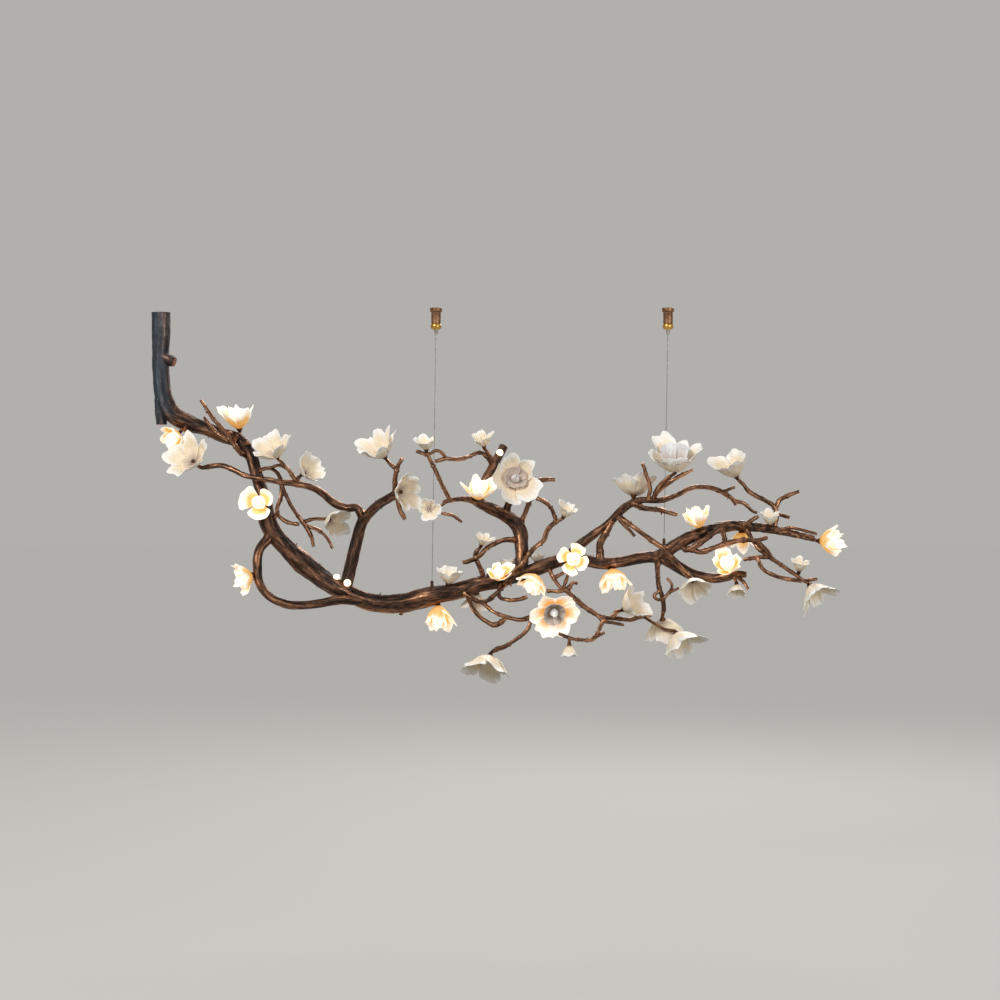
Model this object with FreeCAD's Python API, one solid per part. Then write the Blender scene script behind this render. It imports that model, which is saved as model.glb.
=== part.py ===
"""Branch chandelier: a bronzed copper branch set with porcelain blossoms.

A steel plate inside the hollow top of the trunk fixes it under the ceiling, and two steel
cables in brass ceiling grippers carry the branch. Lit blossoms hold a lamp in a holder, and
the others have a bronze button on their floor. Each branch is coped onto the one that bears
it, as brazed copper is, and is hammered in flat facets.

Millimetres. +Z is up and Z = 0 is the ceiling. The origin lies midway between the two
ceiling grippers, +X runs along the branch from trunk to tip, and -Y is the viewed side.
"""

import FreeCAD
import Part

import math
import os

from FreeCAD import Vector

UP = Vector(0, 0, 1)

# ---- Ceiling grippers ----
GRIPPER_SPACING = 580.0
CUP_FLANGE_RADIUS = 15.0
CUP_FLANGE_HEIGHT = 10.0
CUP_RADIUS = 12.0
CUP_HEIGHT = 40.0
CUP_WALL = 3.0
CUP_TOP = 4.0
CUP_SCREW_HOLE_RADIUS = 2.25
THREAD_GAP = 0.05
COLLAR_RADIUS = 13.5
COLLAR_HEIGHT = 14.0
STEM_LENGTH = 22.0
STEM_TOP_WALL = 3.0
CHAMBER_RADIUS = 5.6
CHAMBER_HEIGHT = 12.0
WEDGE_HEIGHT = 12.0

# ---- Release plunger, jaws and spring in each gripper ----
RELEASE_TRAVEL = 3.0
PLUNGER_STEM_RADIUS = 3.5
PLUNGER_RUNNING_GAP = 0.05
NOZZLE_RADIUS = 6.0
NOZZLE_TIP_RADIUS = 3.0
NOZZLE_HEIGHT = 13.0
NOZZLE_RIM_HEIGHT = 3.0
NOZZLE_ENGAGEMENT = 0.8
NOZZLE_STOP_GAP = 0.2
JAW_COUNT = 3
JAW_GAP = 0.3
SPRING_WIRE = 0.8
SPRING_RADIUS = 3.6
SPRING_TURNS = 4
SPRING_STEPS_PER_TURN = 6

# ---- Cables ----
CABLE_RADIUS = 0.8
CABLE_RUNNING_GAP = 0.1
CABLE_TAIL = 4.0
CABLE_LEAN = 10.0
ANCHOR_RADIUS = 4.0
ANCHOR_HEIGHT = 14.0
ANCHOR_BORE_DEPTH = 9.0
ANCHOR_BORE_GAP = 0.5

# ---- Trunk top and its ceiling plate ----
TRUNK_X = -998.0
TRUNK_Y = 120.0
TRUNK_TOP_RADIUS = 24.0
TRUNK_TOP_WALL = 5.0
PLATE_SEAT_RADIUS = TRUNK_TOP_RADIUS - TRUNK_TOP_WALL
PLATE_SEAT_DEPTH = 20.0
TRUNK_BORE_RADIUS = 15.0
TRUNK_BORE_DEPTH = 150.0
PLATE_GAP = 0.3
PLATE_THICKNESS = 5.0
PLATE_SKIRT_WALL = 3.0
PLATE_SCREW_SPACING = 20.0
PLATE_SCREW_HOLE_RADIUS = 2.25
LEAD_HOLE_RADIUS = 4.0
GRUB_SCREW_COUNT = 3
GRUB_SCREW_RADIUS = 2.0
GRUB_SCREW_GAP = 0.05
TERMINAL_WIDTH = 16.0
TERMINAL_DEPTH = 12.0
TERMINAL_HEIGHT = 11.0
DRIVER_WIDTH = 22.0
DRIVER_DEPTH = 16.0
DRIVER_HEIGHT = 110.0
DRIVER_CHAMFER = 3.0

# ---- Blossoms and what holds them ----
PORCELAIN_WALL = 2.2
FLOOR_RADIUS = 7.0
FLOOR_HOLE_RADIUS = 3.6
SPIGOT_GAP = 0.3
BELLY_HEIGHT_SHARE = 0.36
BELLY_SHARE = 0.66
RIM_VALLEY_SHARE = 0.84
RIM_VALLEY_HEIGHT_SHARE = 0.82
SMALL_FLOOR_RADIUS = 5.5
CALYX_RADIUS = 8.0
SMALL_CALYX_RADIUS = 6.0
CALYX_HEIGHT = 9.0
CALYX_STEM_RADIUS = 4.0
HOLDER_RADIUS = 5.5
HOLDER_HEIGHT = 7.0
LAMP_RADIUS = 4.8
LAMP_LENGTH = 17.0
LAMP_SHOULDER = 3.0
LAMP_TIP_RADIUS = 2.5
CAP_RADIUS = 4.5
CAP_HEIGHT = 3.5
BEAD_RADIUS = 9.0
BEAD_HEIGHT = 14.0
BEAD_SHOULDER = 5.6
BEAD_TIP_RADIUS = 3.5
BEAD_SINK = 4.0

# ---- How the twigs stand out of the branch's plane ----
SWAY = 120.0
SWAY_RISE = 300.0
LIMB_LEVEL = -665.0
LIMB_SLOPE = 0.18
SWAY_START = -750.0
SWAY_FULL = -450.0

# ---- Branch sections ----
LIMB_SIDES = 8
BRANCH_SIDES = 6
TWIG_SIDES = 5
GRIPPER_SIDES = 12
SPRING_SIDES = 3
ANCHOR_SIDES = 7
CABLE_SIDES = 6
BORE_SIDES = 12
SCREW_SIDES = 5
FITTING_SIDES = 5
LAMP_SIDES = 5


# ---- Faceted solids ----

def side_of(along):
    """A unit vector square to a direction."""
    other = UP if abs(along.z) < 0.9 else Vector(1, 0, 0)
    side = along.cross(other)
    side.normalize()
    return side


def ring(centre, along, side, radii):
    """Points evenly spaced round a centre, one for each radius, counter-clockwise about along."""
    across = along.cross(side)
    step = 2 * math.pi / len(radii)
    return [centre + (side * math.cos(k * step) + across * math.sin(k * step)) * radius
            for k, radius in enumerate(radii)]


def flat_face(points):
    """A flat face inside a closed line of points."""
    return Part.Face(Part.makePolygon(points + [points[0]]))


def is_flat(a, b, c, d):
    """Whether four points lie in one plane to a millionth of a millimetre."""
    normal = (b - a).cross(c - a)
    return abs(normal.dot(d - a)) <= 1e-6 * normal.Length


def band(lower, upper):
    """Faces between two rings; the upper one has as many points as the lower or twice as many."""
    faces = []
    count = len(lower)
    for k in range(count):
        a, b = lower[k], lower[(k + 1) % count]
        if len(upper) == 2 * count:
            c, m, d = upper[2 * k], upper[2 * k + 1], upper[(2 * k + 2) % len(upper)]
            faces += [flat_face([a, m, c]), flat_face([a, b, m]), flat_face([b, d, m])]
            continue
        c, d = upper[k], upper[(k + 1) % count]
        if is_flat(a, b, d, c):
            faces.append(flat_face([a, b, d, c]))
        else:
            faces += [flat_face([a, b, d]), flat_face([a, d, c])]
    return faces


def solid_of(faces):
    """One solid whose skin is the given faces."""
    shell = Part.makeShell(faces)
    shell.sewShape()
    if shell.ShapeType != "Shell":
        shell = shell.Shells[0]
    solid = Part.makeSolid(shell)
    if solid.Volume < 0:
        solid.reverse()
    return solid


def stack(rings):
    """A solid through rings in order, closed by a flat face at each end."""
    faces = [flat_face(rings[0]), flat_face(rings[-1])]
    for lower, upper in zip(rings, rings[1:]):
        faces += band(lower, upper)
    return solid_of(faces)


def turned(base, along, profile, sides):
    """A many-sided turned piece: profile holds (height, radius) pairs from its base up."""
    side = side_of(along)
    return stack([ring(base + along * height, along, side, [radius] * sides)
                  for height, radius in profile])


# ---- Branches ----

def swayed(x, y, z):
    """A chosen point, moved in depth: twigs lean forward at the cables and back between them."""
    rise = (z - LIMB_LEVEL - LIMB_SLOPE * x) / SWAY_RISE
    share = min(1.0, max(0.0, (x - SWAY_START) / (SWAY_FULL - SWAY_START)))
    wave = -math.cos(2 * math.pi * (x + CABLE_LEAN - GRIPPER_SPACING / 2) / GRIPPER_SPACING)
    return Vector(x, y + SWAY * max(-1.0, min(1.0, rise)) * wave * share, z)


def directions(centres, last_along):
    """The direction of a route at each of its points."""
    runs = [b - a for a, b in zip(centres, centres[1:])]
    for run in runs:
        run.normalize()
    middle = [a + b for a, b in zip(runs, runs[1:])]
    found = [runs[0]] + middle + [last_along if last_along else runs[-1]]
    for along in found:
        along.normalize()
    return found


def route_rings(points, sides, last_along=None):
    """Rings along a branch's route of chosen (x, y, z, radius) points."""
    centres = [swayed(x, y, z) for x, y, z, radius in points]
    return rings_along(centres, [point[3] for point in points], sides, last_along)


def rings_along(centres, radii, sides, last_along=None):
    """Rings of the given radii at the centres of a route, carried along it without twist."""
    side = None
    rings = []
    for centre, along, radius in zip(centres, directions(centres, last_along), radii):
        side = side_of(along) if side is None else side - along * side.dot(along)
        side.normalize()
        rings.append(ring(centre, along, side, [radius] * sides))
    return rings


def sides_for(points):
    """How many facets go round a branch of this thickness."""
    thickest = max(point[3] for point in points)
    if thickest > 13:
        return LIMB_SIDES
    return BRANCH_SIDES if thickest > 7 else TWIG_SIDES


def coped(solid, bearers):
    """A solid cut back to the skins of the ones that bear it."""
    near = [other for other in bearers if other.BoundBox.intersect(solid.BoundBox)]
    if not near:
        return solid
    left = solid.cut(near)
    return max(left.Solids, key=lambda part: part.Volume)


# The trunk and the main line of the branch, from the ceiling to the far tip.
STEM_ROUTE = [
    (TRUNK_X, TRUNK_Y, 0, TRUNK_TOP_RADIUS), (TRUNK_X, TRUNK_Y, -62, TRUNK_TOP_RADIUS),
    (-999, 120, -102, 21), (-997, 120, -162, 21), (-988, 116, -220, 22.5), (-963, 110, -262, 23),
    (-924, 104, -284, 21), (-879, 97, -299, 18), (-835, 90, -316, 18), (-794, 85, -330, 19),
    (-763, 78, -368, 16), (-751, 72, -405, 15.5), (-738, 66, -443, 16), (-727, 59, -482, 18),
    (-718, 50, -530, 22), (-704, 44, -562, 22), (-671, 38, -600, 22), (-630, 30, -638, 27),
    (-585, 22, -673, 25), (-542, 16, -698, 23), (-500, 10, -718, 21.5), (-455, 6, -735, 22.5),
    (-375, 0, -738, 25), (-330, 0, -728, 24), (-280, 0, -715, 22.5), (-230, 0, -705, 21.5),
    (-180, 0, -690, 19), (-130, 0, -680, 19), (-80, 0, -668, 16), (-30, 0, -650, 17.5),
    (20, 0, -632, 16), (70, 0, -628, 15.5), (120, 0, -637, 16.5), (170, 0, -635, 14),
    (220, 0, -625, 14), (270, 0, -618, 16), (305, 2, -595, 16), (345, 5, -573, 17),
    (395, 8, -555, 15), (433, 10, -547, 14), (475, 12, -545, 13), (508, 12, -548, 12),
    (545, 12, -552, 11), (583, 10, -560, 10), (620, 8, -568, 9), (655, 4, -577, 8),
]
TRUNK_END = 9
MAIN_LIMB_END = 22
MIDDLE_LIMB_END = 35

# Branches that bear others, in the order in which they are brazed on.
BRANCHES = {
    "lower_loop": [
        (-704, 44, -562, 13), (-733, 20, -605, 12), (-737, 5, -648, 11.5), (-731, -5, -685, 11),
        (-713, -12, -713, 11), (-678, -18, -735, 11), (-630, -20, -743, 11),
        (-580, -18, -738, 11), (-530, -14, -730, 11), (-485, -8, -733, 11), (-440, 5, -737, 11),
    ],
    "bracket_post": [
        (-520, 13, -708, 17), (-502, 5, -634, 15), (-490, 2, -580, 14.5), (-475, 0, -535, 14),
        (-462, 0, -512, 13),
    ],
    "left_arm": [
        (-472, 0, -525, 11), (-488, -4, -502, 11), (-518, -8, -500, 10), (-548, -12, -488, 10),
        (-580, -16, -463, 9), (-610, -22, -446, 8.5), (-638, -24, -440, 8), (-680, -8, -435, 7),
        (-725, 15, -427, 6.5), (-772, 35, -418, 6.5), (-812, 48, -400, 6.5),
        (-835, 54, -393, 6.5), (-870, 58, -396, 6),
    ],
    "right_arm": [
        (-475, 0, -530, 12), (-443, 0, -500, 12), (-418, 0, -483, 11.5), (-392, 0, -468, 11),
        (-378, 0, -462, 8),
    ],
    "crown_limb": [
        (-75, 0, -666, 18), (-76, 8, -593, 17.5), (-82, 10, -555, 18.5), (-115, 8, -520, 16.5),
        (-155, 4, -500, 15), (-185, 0, -486, 11.5), (-207, -4, -478, 8), (-235, -10, -478, 6),
        (-268, -16, -485, 5),
    ],
    "crown_post": [
        (-183, 0, -487, 9), (-172, -6, -440, 9), (-150, -12, -400, 11), (-121, -18, -346, 11),
    ],
    "upper_branch": [
        (40, 2, -627, 13), (57, 4, -605, 12.5), (95, 2, -573, 11), (127, 0, -550, 9),
        (150, -3, -530, 10), (170, -6, -508, 10), (197, -10, -488, 9.5), (225, -16, -480, 8),
        (270, -22, -480, 7), (308, -25, -466, 6), (335, -25, -452, 6), (370, -24, -447, 6),
        (402, -22, -452, 6), (432, -20, -465, 6), (452, -18, -480, 5.5), (460, -18, -492, 5),
    ],
    "lower_right_limb": [
        (275, 0, -618, 15), (320, -4, -650, 15), (358, -6, -668, 14), (395, -8, -675, 12.5),
        (433, -8, -672, 11), (458, -8, -665, 9), (482, -8, -665, 8),
    ],
}

# Twigs in groups, each route with the blossom that it ends in, or None.
TWIGS = {
    "left_twigs": [
        (None, [(-999, 120, -112, 14), (-972, 112, -124, 14), (-961, 110, -128, 12)]),
        (None, [(-994, 119, -218, 20), (-996, 118, -262, 17), (-996, 117, -287, 14)]),
        (None, [(-770, 76, -372, 5), (-784, 58, -362, 6), (-812, 56, -328, 6),
                (-836, 58, -296, 5.5), (-857, 62, -272, 5), (-888, 66, -227, 4)]),
        (None, [(-815, 56, -328, 5), (-842, 66, -316, 5), (-880, 68, -270, 4)]),
        ("knot", [(-797, 85, -330, 9)]),
        ("trunk_back", [(-934, 106, -290, 7)]),
        ("left_arm_high", [(-635, -24, -441, 6), (-660, -20, -404, 5)]),
        ("left_arm_low", [(-640, -22, -441, 5), (-637, -24, -428, 5)]),
        ("trunk_front", [(-866, 58, -396, 5.5), (-885, 66, -398, 5)]),
        (None, [(-752, 71, -408, 5), (-714, 50, -400, 5), (-697, 42, -407, 5),
                (-684, 35, -430, 5), (-682, 28, -470, 5), (-690, 24, -510, 5),
                (-678, 22, -528, 5), (-657, 18, -538, 5), (-636, 12, -541, 5)]),
        (None, [(-714, 50, -400, 4), (-685, 20, -392, 4), (-661, -18, -403, 4)]),
        (None, [(-680, -9, -435, 5), (-662, -2, -480, 5), (-645, 1, -510, 5),
                (-628, 5, -535, 5.5), (-608, 8, -568, 5), (-600, 10, -598, 4)]),
        ("net", [(-628, 5, -535, 5), (-604, 2, -529, 4.5)]),
        (None, [(-624, 6, -542, 5), (-587, 9, -558, 4.5), (-564, 10, -580, 4),
                (-553, 10, -602, 3.5)]),
        (None, [(-712, 48, -540, 6), (-690, 26, -513, 5)]),
    ],
    "bracket_twigs": [
        (None, [(-389, 0, -468, 7), (-389, -2, -430, 6), (-383, -4, -402, 6),
                (-370, -5, -378, 5)]),
        ("right_arm_high", [(-384, -4, -404, 5), (-398, -9, -394, 4.5)]),
        ("right_arm_side", [(-391, -2, -466, 6)]),
        (None, [(-386, 0, -467, 6.5), (-378, 3, -500, 6), (-365, 5, -528, 5)]),
    ],
    "crown_twigs": [
        ("cable_high", [(-252, -13, -482, 5), (-268, -18, -450, 5), (-285, -22, -413, 5),
                        (-300, -25, -382, 5)]),
        (None, [(-309, -25, -370, 4.5), (-333, -26, -361, 4.5)]),
        (None, [(-306, -25, -370, 4), (-282, -31, -360, 4), (-258, -31, -380, 4.5)]),
        (None, [(-286, -34, -386, 4), (-262, -32, -380, 5), (-230, -30, -380, 5),
                (-205, -28, -373, 5), (-182, -26, -363, 5), (-165, -22, -371, 5),
                (-148, -14, -394, 5.5)]),
        ("crown_high", [(-145, -14, -392, 6), (-158, -20, -368, 5.5)]),
        ("crown_large", [(-118, 6, -514, 9), (-106, -8, -482, 8.5), (-104, -22, -456, 8)]),
        (None, [(-80, 9, -548, 7), (-62, 4, -502, 6), (-52, 0, -475, 6), (-50, -2, -455, 6),
                (-42, -4, -440, 6), (-28, -5, -431, 6), (10, -5, -428, 5)]),
        ("crown_right", [(-120, -5, -690, 6), (-114, -29, -673, 6), (-98, -30, -658, 6),
                         (-80, -31, -645, 6), (-62, -29, -620, 6), (-42, -25, -598, 6),
                         (-22, -22, -582, 6), (-10, -18, -556, 6), (8, -12, -537, 6)]),
        (None, [(-51, -1, -468, 5.5), (-30, -4, -478, 5.5), (-5, -8, -495, 5),
                (12, -10, -530, 5)]),
        (None, [(-80, 8, -580, 8), (-118, -2, -580, 6.5), (-142, -6, -588, 6),
                (-163, -8, -600, 6), (-180, -10, -618, 6), (-205, -12, -632, 6),
                (-222, -13, -635, 5)]),
        ("limb_back", [(-107, 6, -678, 5)]),
        ("limb_bud", [(-38, 6, -655, 5)]),
        ("crown_low", [(-170, 0, -688, 7), (-175, 3, -660, 6), (-184, 6, -640, 6),
                       (-192, 6, -618, 6)]),
        (None, [(-264, -15, -485, 4), (-281, -13, -501, 4), (-243, -16, -520, 4),
                (-225, -14, -534, 3.5)]),
        ("cable_low", [(-276, -14, -500, 4)]),
    ],
    "under_twigs": [
        (None, [(-235, -5, -700, 6), (-205, -24, -722, 5.5), (-170, -26, -733, 5.5),
                (-142, -26, -715, 5.5), (-116, -8, -690, 6)]),
        (None, [(-210, -23, -720, 5), (-198, -26, -750, 5), (-183, -26, -768, 5.5),
                (-162, -25, -783, 6), (-142, -24, -790, 6.5), (-112, -32, -770, 5)]),
        ("heart", [(-176, -26, -733, 5), (-150, -32, -755, 5), (-112, -34, -770, 5.5),
                   (-75, -34, -775, 5.5), (-45, -32, -764, 5.5), (-20, -28, -752, 5)]),
        ("lowest_left", [(-50, -33, -766, 5), (-62, -33, -798, 5), (-92, -32, -825, 5),
                         (-118, -30, -842, 6), (-138, -28, -850, 6)]),
        (None, [(-128, 0, -685, 6), (-132, 5, -720, 5), (-110, 8, -730, 5),
                (-80, 10, -728, 5), (-62, 10, -722, 4.5)]),
        (None, [(-12, 0, -640, 5), (2, -14, -672, 4.5), (16, -18, -692, 4.5),
                (28, -20, -704, 4.5)]),
        (None, [(-14, -18, -706, 4.5), (20, -20, -706, 5), (40, -20, -698, 5),
                (52, -20, -686, 4.5), (63, -20, -688, 4)]),
        (None, [(42, 0, -632, 5), (40, -12, -662, 4.5), (26, -19, -703, 4.5)]),
        (None, [(3, -14, -674, 4), (38, -11, -658, 4)]),
        (None, [(32, -20, -702, 6), (62, -22, -730, 6.5), (90, -22, -752, 6),
                (120, -22, -770, 6), (158, -22, -775, 6), (195, -20, -780, 6),
                (220, -18, -775, 5.5), (250, -16, -770, 5)]),
        (None, [(103, -22, -760, 4.5), (126, -32, -779, 4.5), (158, -34, -787, 4),
                (178, -35, -792, 3.5)]),
        (None, [(126, -32, -780, 5), (108, -31, -815, 5), (98, -31, -823, 5.5),
                (70, -31, -824, 4.5), (40, -32, -818, 4.5), (14, -28, -808, 4)]),
        (None, [(103, -31, -820, 4.5), (128, -33, -809, 4)]),
        ("heart_bud", [(42, -32, -818, 4.5)]),
        ("under_side", [(148, -22, -774, 5), (160, -24, -760, 5)]),
        ("hanging_front", [(232, -17, -773, 4.5), (258, -52, -790, 4), (284, -62, -804, 4)]),
    ],
    "right_twigs": [
        (None, [(120, -3, -630, 9), (120, -8, -588, 8.5), (135, -8, -562, 8),
                (152, -4, -528, 8)]),
        (None, [(160, -6, -520, 5), (188, -18, -552, 4.5), (205, -20, -570, 4)]),
        ("fork_low", [(162, -5, -516, 6), (220, -26, -560, 6), (250, -32, -583, 6),
                      (275, -36, -600, 6.5), (292, -38, -618, 6), (312, -38, -640, 6),
                      (332, -36, -660, 6)]),
        (None, [(236, -18, -480, 5), (238, -32, -448, 4.5), (228, -34, -418, 4.5),
                (218, -35, -390, 4)]),
        ("arch_large", [(246, -19, -480, 6), (258, -24, -450, 5.5), (280, -27, -428, 5)]),
        (None, [(254, -23, -462, 5), (286, -40, -436, 5), (315, -44, -418, 4.5),
                (340, -44, -406, 4)]),
        (None, [(452, -18, -480, 4.5), (483, -20, -490, 4.5), (500, -22, -507, 4),
                (512, -22, -512, 3.5)]),
        (None, [(424, -20, -460, 4.5), (455, -22, -448, 4)]),
        (None, [(200, -11, -488, 7), (225, -28, -500, 6), (258, -32, -504, 6),
                (286, -34, -511, 5.5), (306, -30, -516, 5)]),
        ("arch_left", [(192, -9, -492, 8)]),
        ("hanging_back", [(265, 0, -620, 7), (265, -10, -668, 6.5), (270, -14, -700, 6),
                          (278, -16, -725, 6), (282, -18, -755, 6)]),
        (None, [(272, -14, -706, 4.5), (256, -24, -720, 4), (268, -32, -730, 4),
                (290, -30, -716, 4), (300, -28, -693, 4), (288, -26, -675, 3.5)]),
        (None, [(293, -30, -712, 4), (318, -28, -700, 3.5)]),
    ],
    "tip_twigs": [
        ("arch_right", [(369, 6, -565, 7)]),
        ("tip_end", [(648, 5, -576, 5.5)]),
        (None, [(312, 2, -590, 8), (336, -16, -603, 7.5), (370, -22, -585, 7.5),
                (400, -24, -563, 7.5), (430, -22, -540, 7)]),
        (None, [(338, -16, -602, 7), (370, -18, -609, 6.5), (400, -20, -600, 6.5),
                (433, -22, -588, 6.5), (470, -24, -580, 6), (508, -26, -580, 5.5),
                (535, -26, -573, 5)]),
        (None, [(420, -22, -548, 6), (428, -22, -570, 6), (430, -22, -588, 6)]),
        (None, [(462, 10, -546, 5.5), (483, -8, -540, 5), (503, -12, -528, 5),
                (516, -12, -521, 4.5)]),
        ("tip_high", [(557, 12, -552, 6), (565, 4, -520, 6), (560, 0, -498, 6),
                      (535, -4, -480, 6), (515, -6, -470, 5.5), (495, -8, -458, 5.5),
                      (480, -9, -440, 5)]),
        (None, [(561, 0, -500, 6), (573, -2, -480, 6), (595, -4, -468, 5.5),
                (622, -5, -458, 4.5)]),
        (None, [(564, 3, -514, 4.5), (596, 0, -524, 4)]),
        (None, [(562, 10, -555, 4.5), (597, -9, -549, 4.5), (632, -12, -557, 4),
                (660, -14, -565, 3.5)]),
        ("tip_low", [(484, 12, -546, 6), (502, -8, -582, 5.5), (520, -10, -605, 5.5),
                     (545, -12, -625, 5.5), (570, -13, -643, 5), (595, -13, -661, 5),
                     (616, -13, -676, 5)]),
        (None, [(510, -26, -581, 4.5), (534, -25, -608, 4.5), (546, -13, -627, 4.5)]),
        (None, [(540, -12, -622, 5), (512, -18, -622, 5), (495, -19, -625, 5),
                (476, -16, -628, 4.5)]),
        (None, [(508, -18, -623, 5), (520, -26, -650, 5), (545, -29, -665, 5),
                (583, -31, -675, 5), (620, -32, -678, 4.5), (652, -32, -675, 4)]),
        ("tip_low_bud", [(600, -14, -665, 4)]),
        ("fork_bud", [(450, -8, -668, 5)]),
        (None, [(458, -9, -667, 5), (474, -22, -684, 4), (484, -24, -700, 3.5)]),
    ],
}


class Blossom:
    """A porcelain blossom: where its floor sits, where it faces, its size and how it is held."""

    def __init__(self, base, facing, mouth, depth, petals=5, lit=False, small=False):
        self.base = swayed(*base)
        self.facing = Vector(*facing)
        self.facing.normalize()
        self.mouth = mouth
        self.depth = depth
        self.petals = petals
        self.lit = lit
        self.small = small

    def stem_end(self):
        """Where the stem meets the underside of the calyx."""
        return self.base - self.facing * CALYX_HEIGHT

    def calyx(self):
        """The cup under the porcelain floor, from the stem up."""
        radius = SMALL_CALYX_RADIUS if self.small else CALYX_RADIUS
        return turned(self.stem_end(), self.facing,
                      [(0, CALYX_STEM_RADIUS), (CALYX_HEIGHT, radius)], FITTING_SIDES)

    def wall_rings(self, inset):
        """Rings of the petals' outer skin, or of the inner one when inset by the wall."""
        side = side_of(self.facing)
        count = self.petals
        floor = SMALL_FLOOR_RADIUS if self.small else FLOOR_RADIUS
        centre = self.base + self.facing * inset
        rings = [ring(centre, self.facing, side, [floor - inset / 2] * count)]
        if not self.small:
            belly = self.base + self.facing * (self.depth * BELLY_HEIGHT_SHARE)
            rings.append(ring(belly, self.facing, side, [self.mouth * BELLY_SHARE - inset] * count))
        radii = [self.mouth - inset, self.mouth * RIM_VALLEY_SHARE - inset]
        rim = ring(self.base, self.facing, side, radii * count)
        heights = [self.depth, self.depth * RIM_VALLEY_HEIGHT_SHARE] * count
        rings.append([point + self.facing * height for point, height in zip(rim, heights)])
        return rings

    def porcelain(self):
        """The petals in one shell, scalloped at the rim, with the lit ones' hole in its floor."""
        outer = self.wall_rings(0)
        inner = self.wall_rings(PORCELAIN_WALL)
        if not self.lit:
            faces = [flat_face(outer[0]), flat_face(inner[0])]
        else:
            side = side_of(self.facing)
            holes = [ring(self.base + self.facing * height, self.facing, side,
                          [FLOOR_HOLE_RADIUS] * self.petals) for height in (0, PORCELAIN_WALL)]
            faces = band(holes[0], outer[0]) + band(holes[1], inner[0]) + band(*holes)
        for rings in (outer, inner):
            for lower, upper in zip(rings, rings[1:]):
                faces += band(lower, upper)
        faces += band(outer[-1], inner[-1])
        return solid_of(faces)

    def holder(self):
        """The lamp holder, whose spigot clamps the porcelain floor onto the calyx."""
        spigot = FLOOR_HOLE_RADIUS * math.cos(math.pi / self.petals) - SPIGOT_GAP
        return turned(self.base, self.facing,
                      [(0, spigot), (PORCELAIN_WALL, spigot), (PORCELAIN_WALL, HOLDER_RADIUS),
                       (PORCELAIN_WALL + HOLDER_HEIGHT, HOLDER_RADIUS)], FITTING_SIDES)

    def cap(self):
        """The bronze button cemented on the floor of a blossom with no lamp."""
        return turned(self.base + self.facing * PORCELAIN_WALL, self.facing,
                      [(0, CAP_RADIUS), (CAP_HEIGHT, CAP_RADIUS)], FITTING_SIDES)

    def lamp(self):
        """The capsule lamp that stands in its holder."""
        foot = self.base + self.facing * (PORCELAIN_WALL + HOLDER_HEIGHT)
        return turned(foot, self.facing,
                      [(0, LAMP_RADIUS), (LAMP_LENGTH - LAMP_SHOULDER, LAMP_RADIUS),
                       (LAMP_LENGTH, LAMP_TIP_RADIUS)], LAMP_SIDES)


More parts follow.
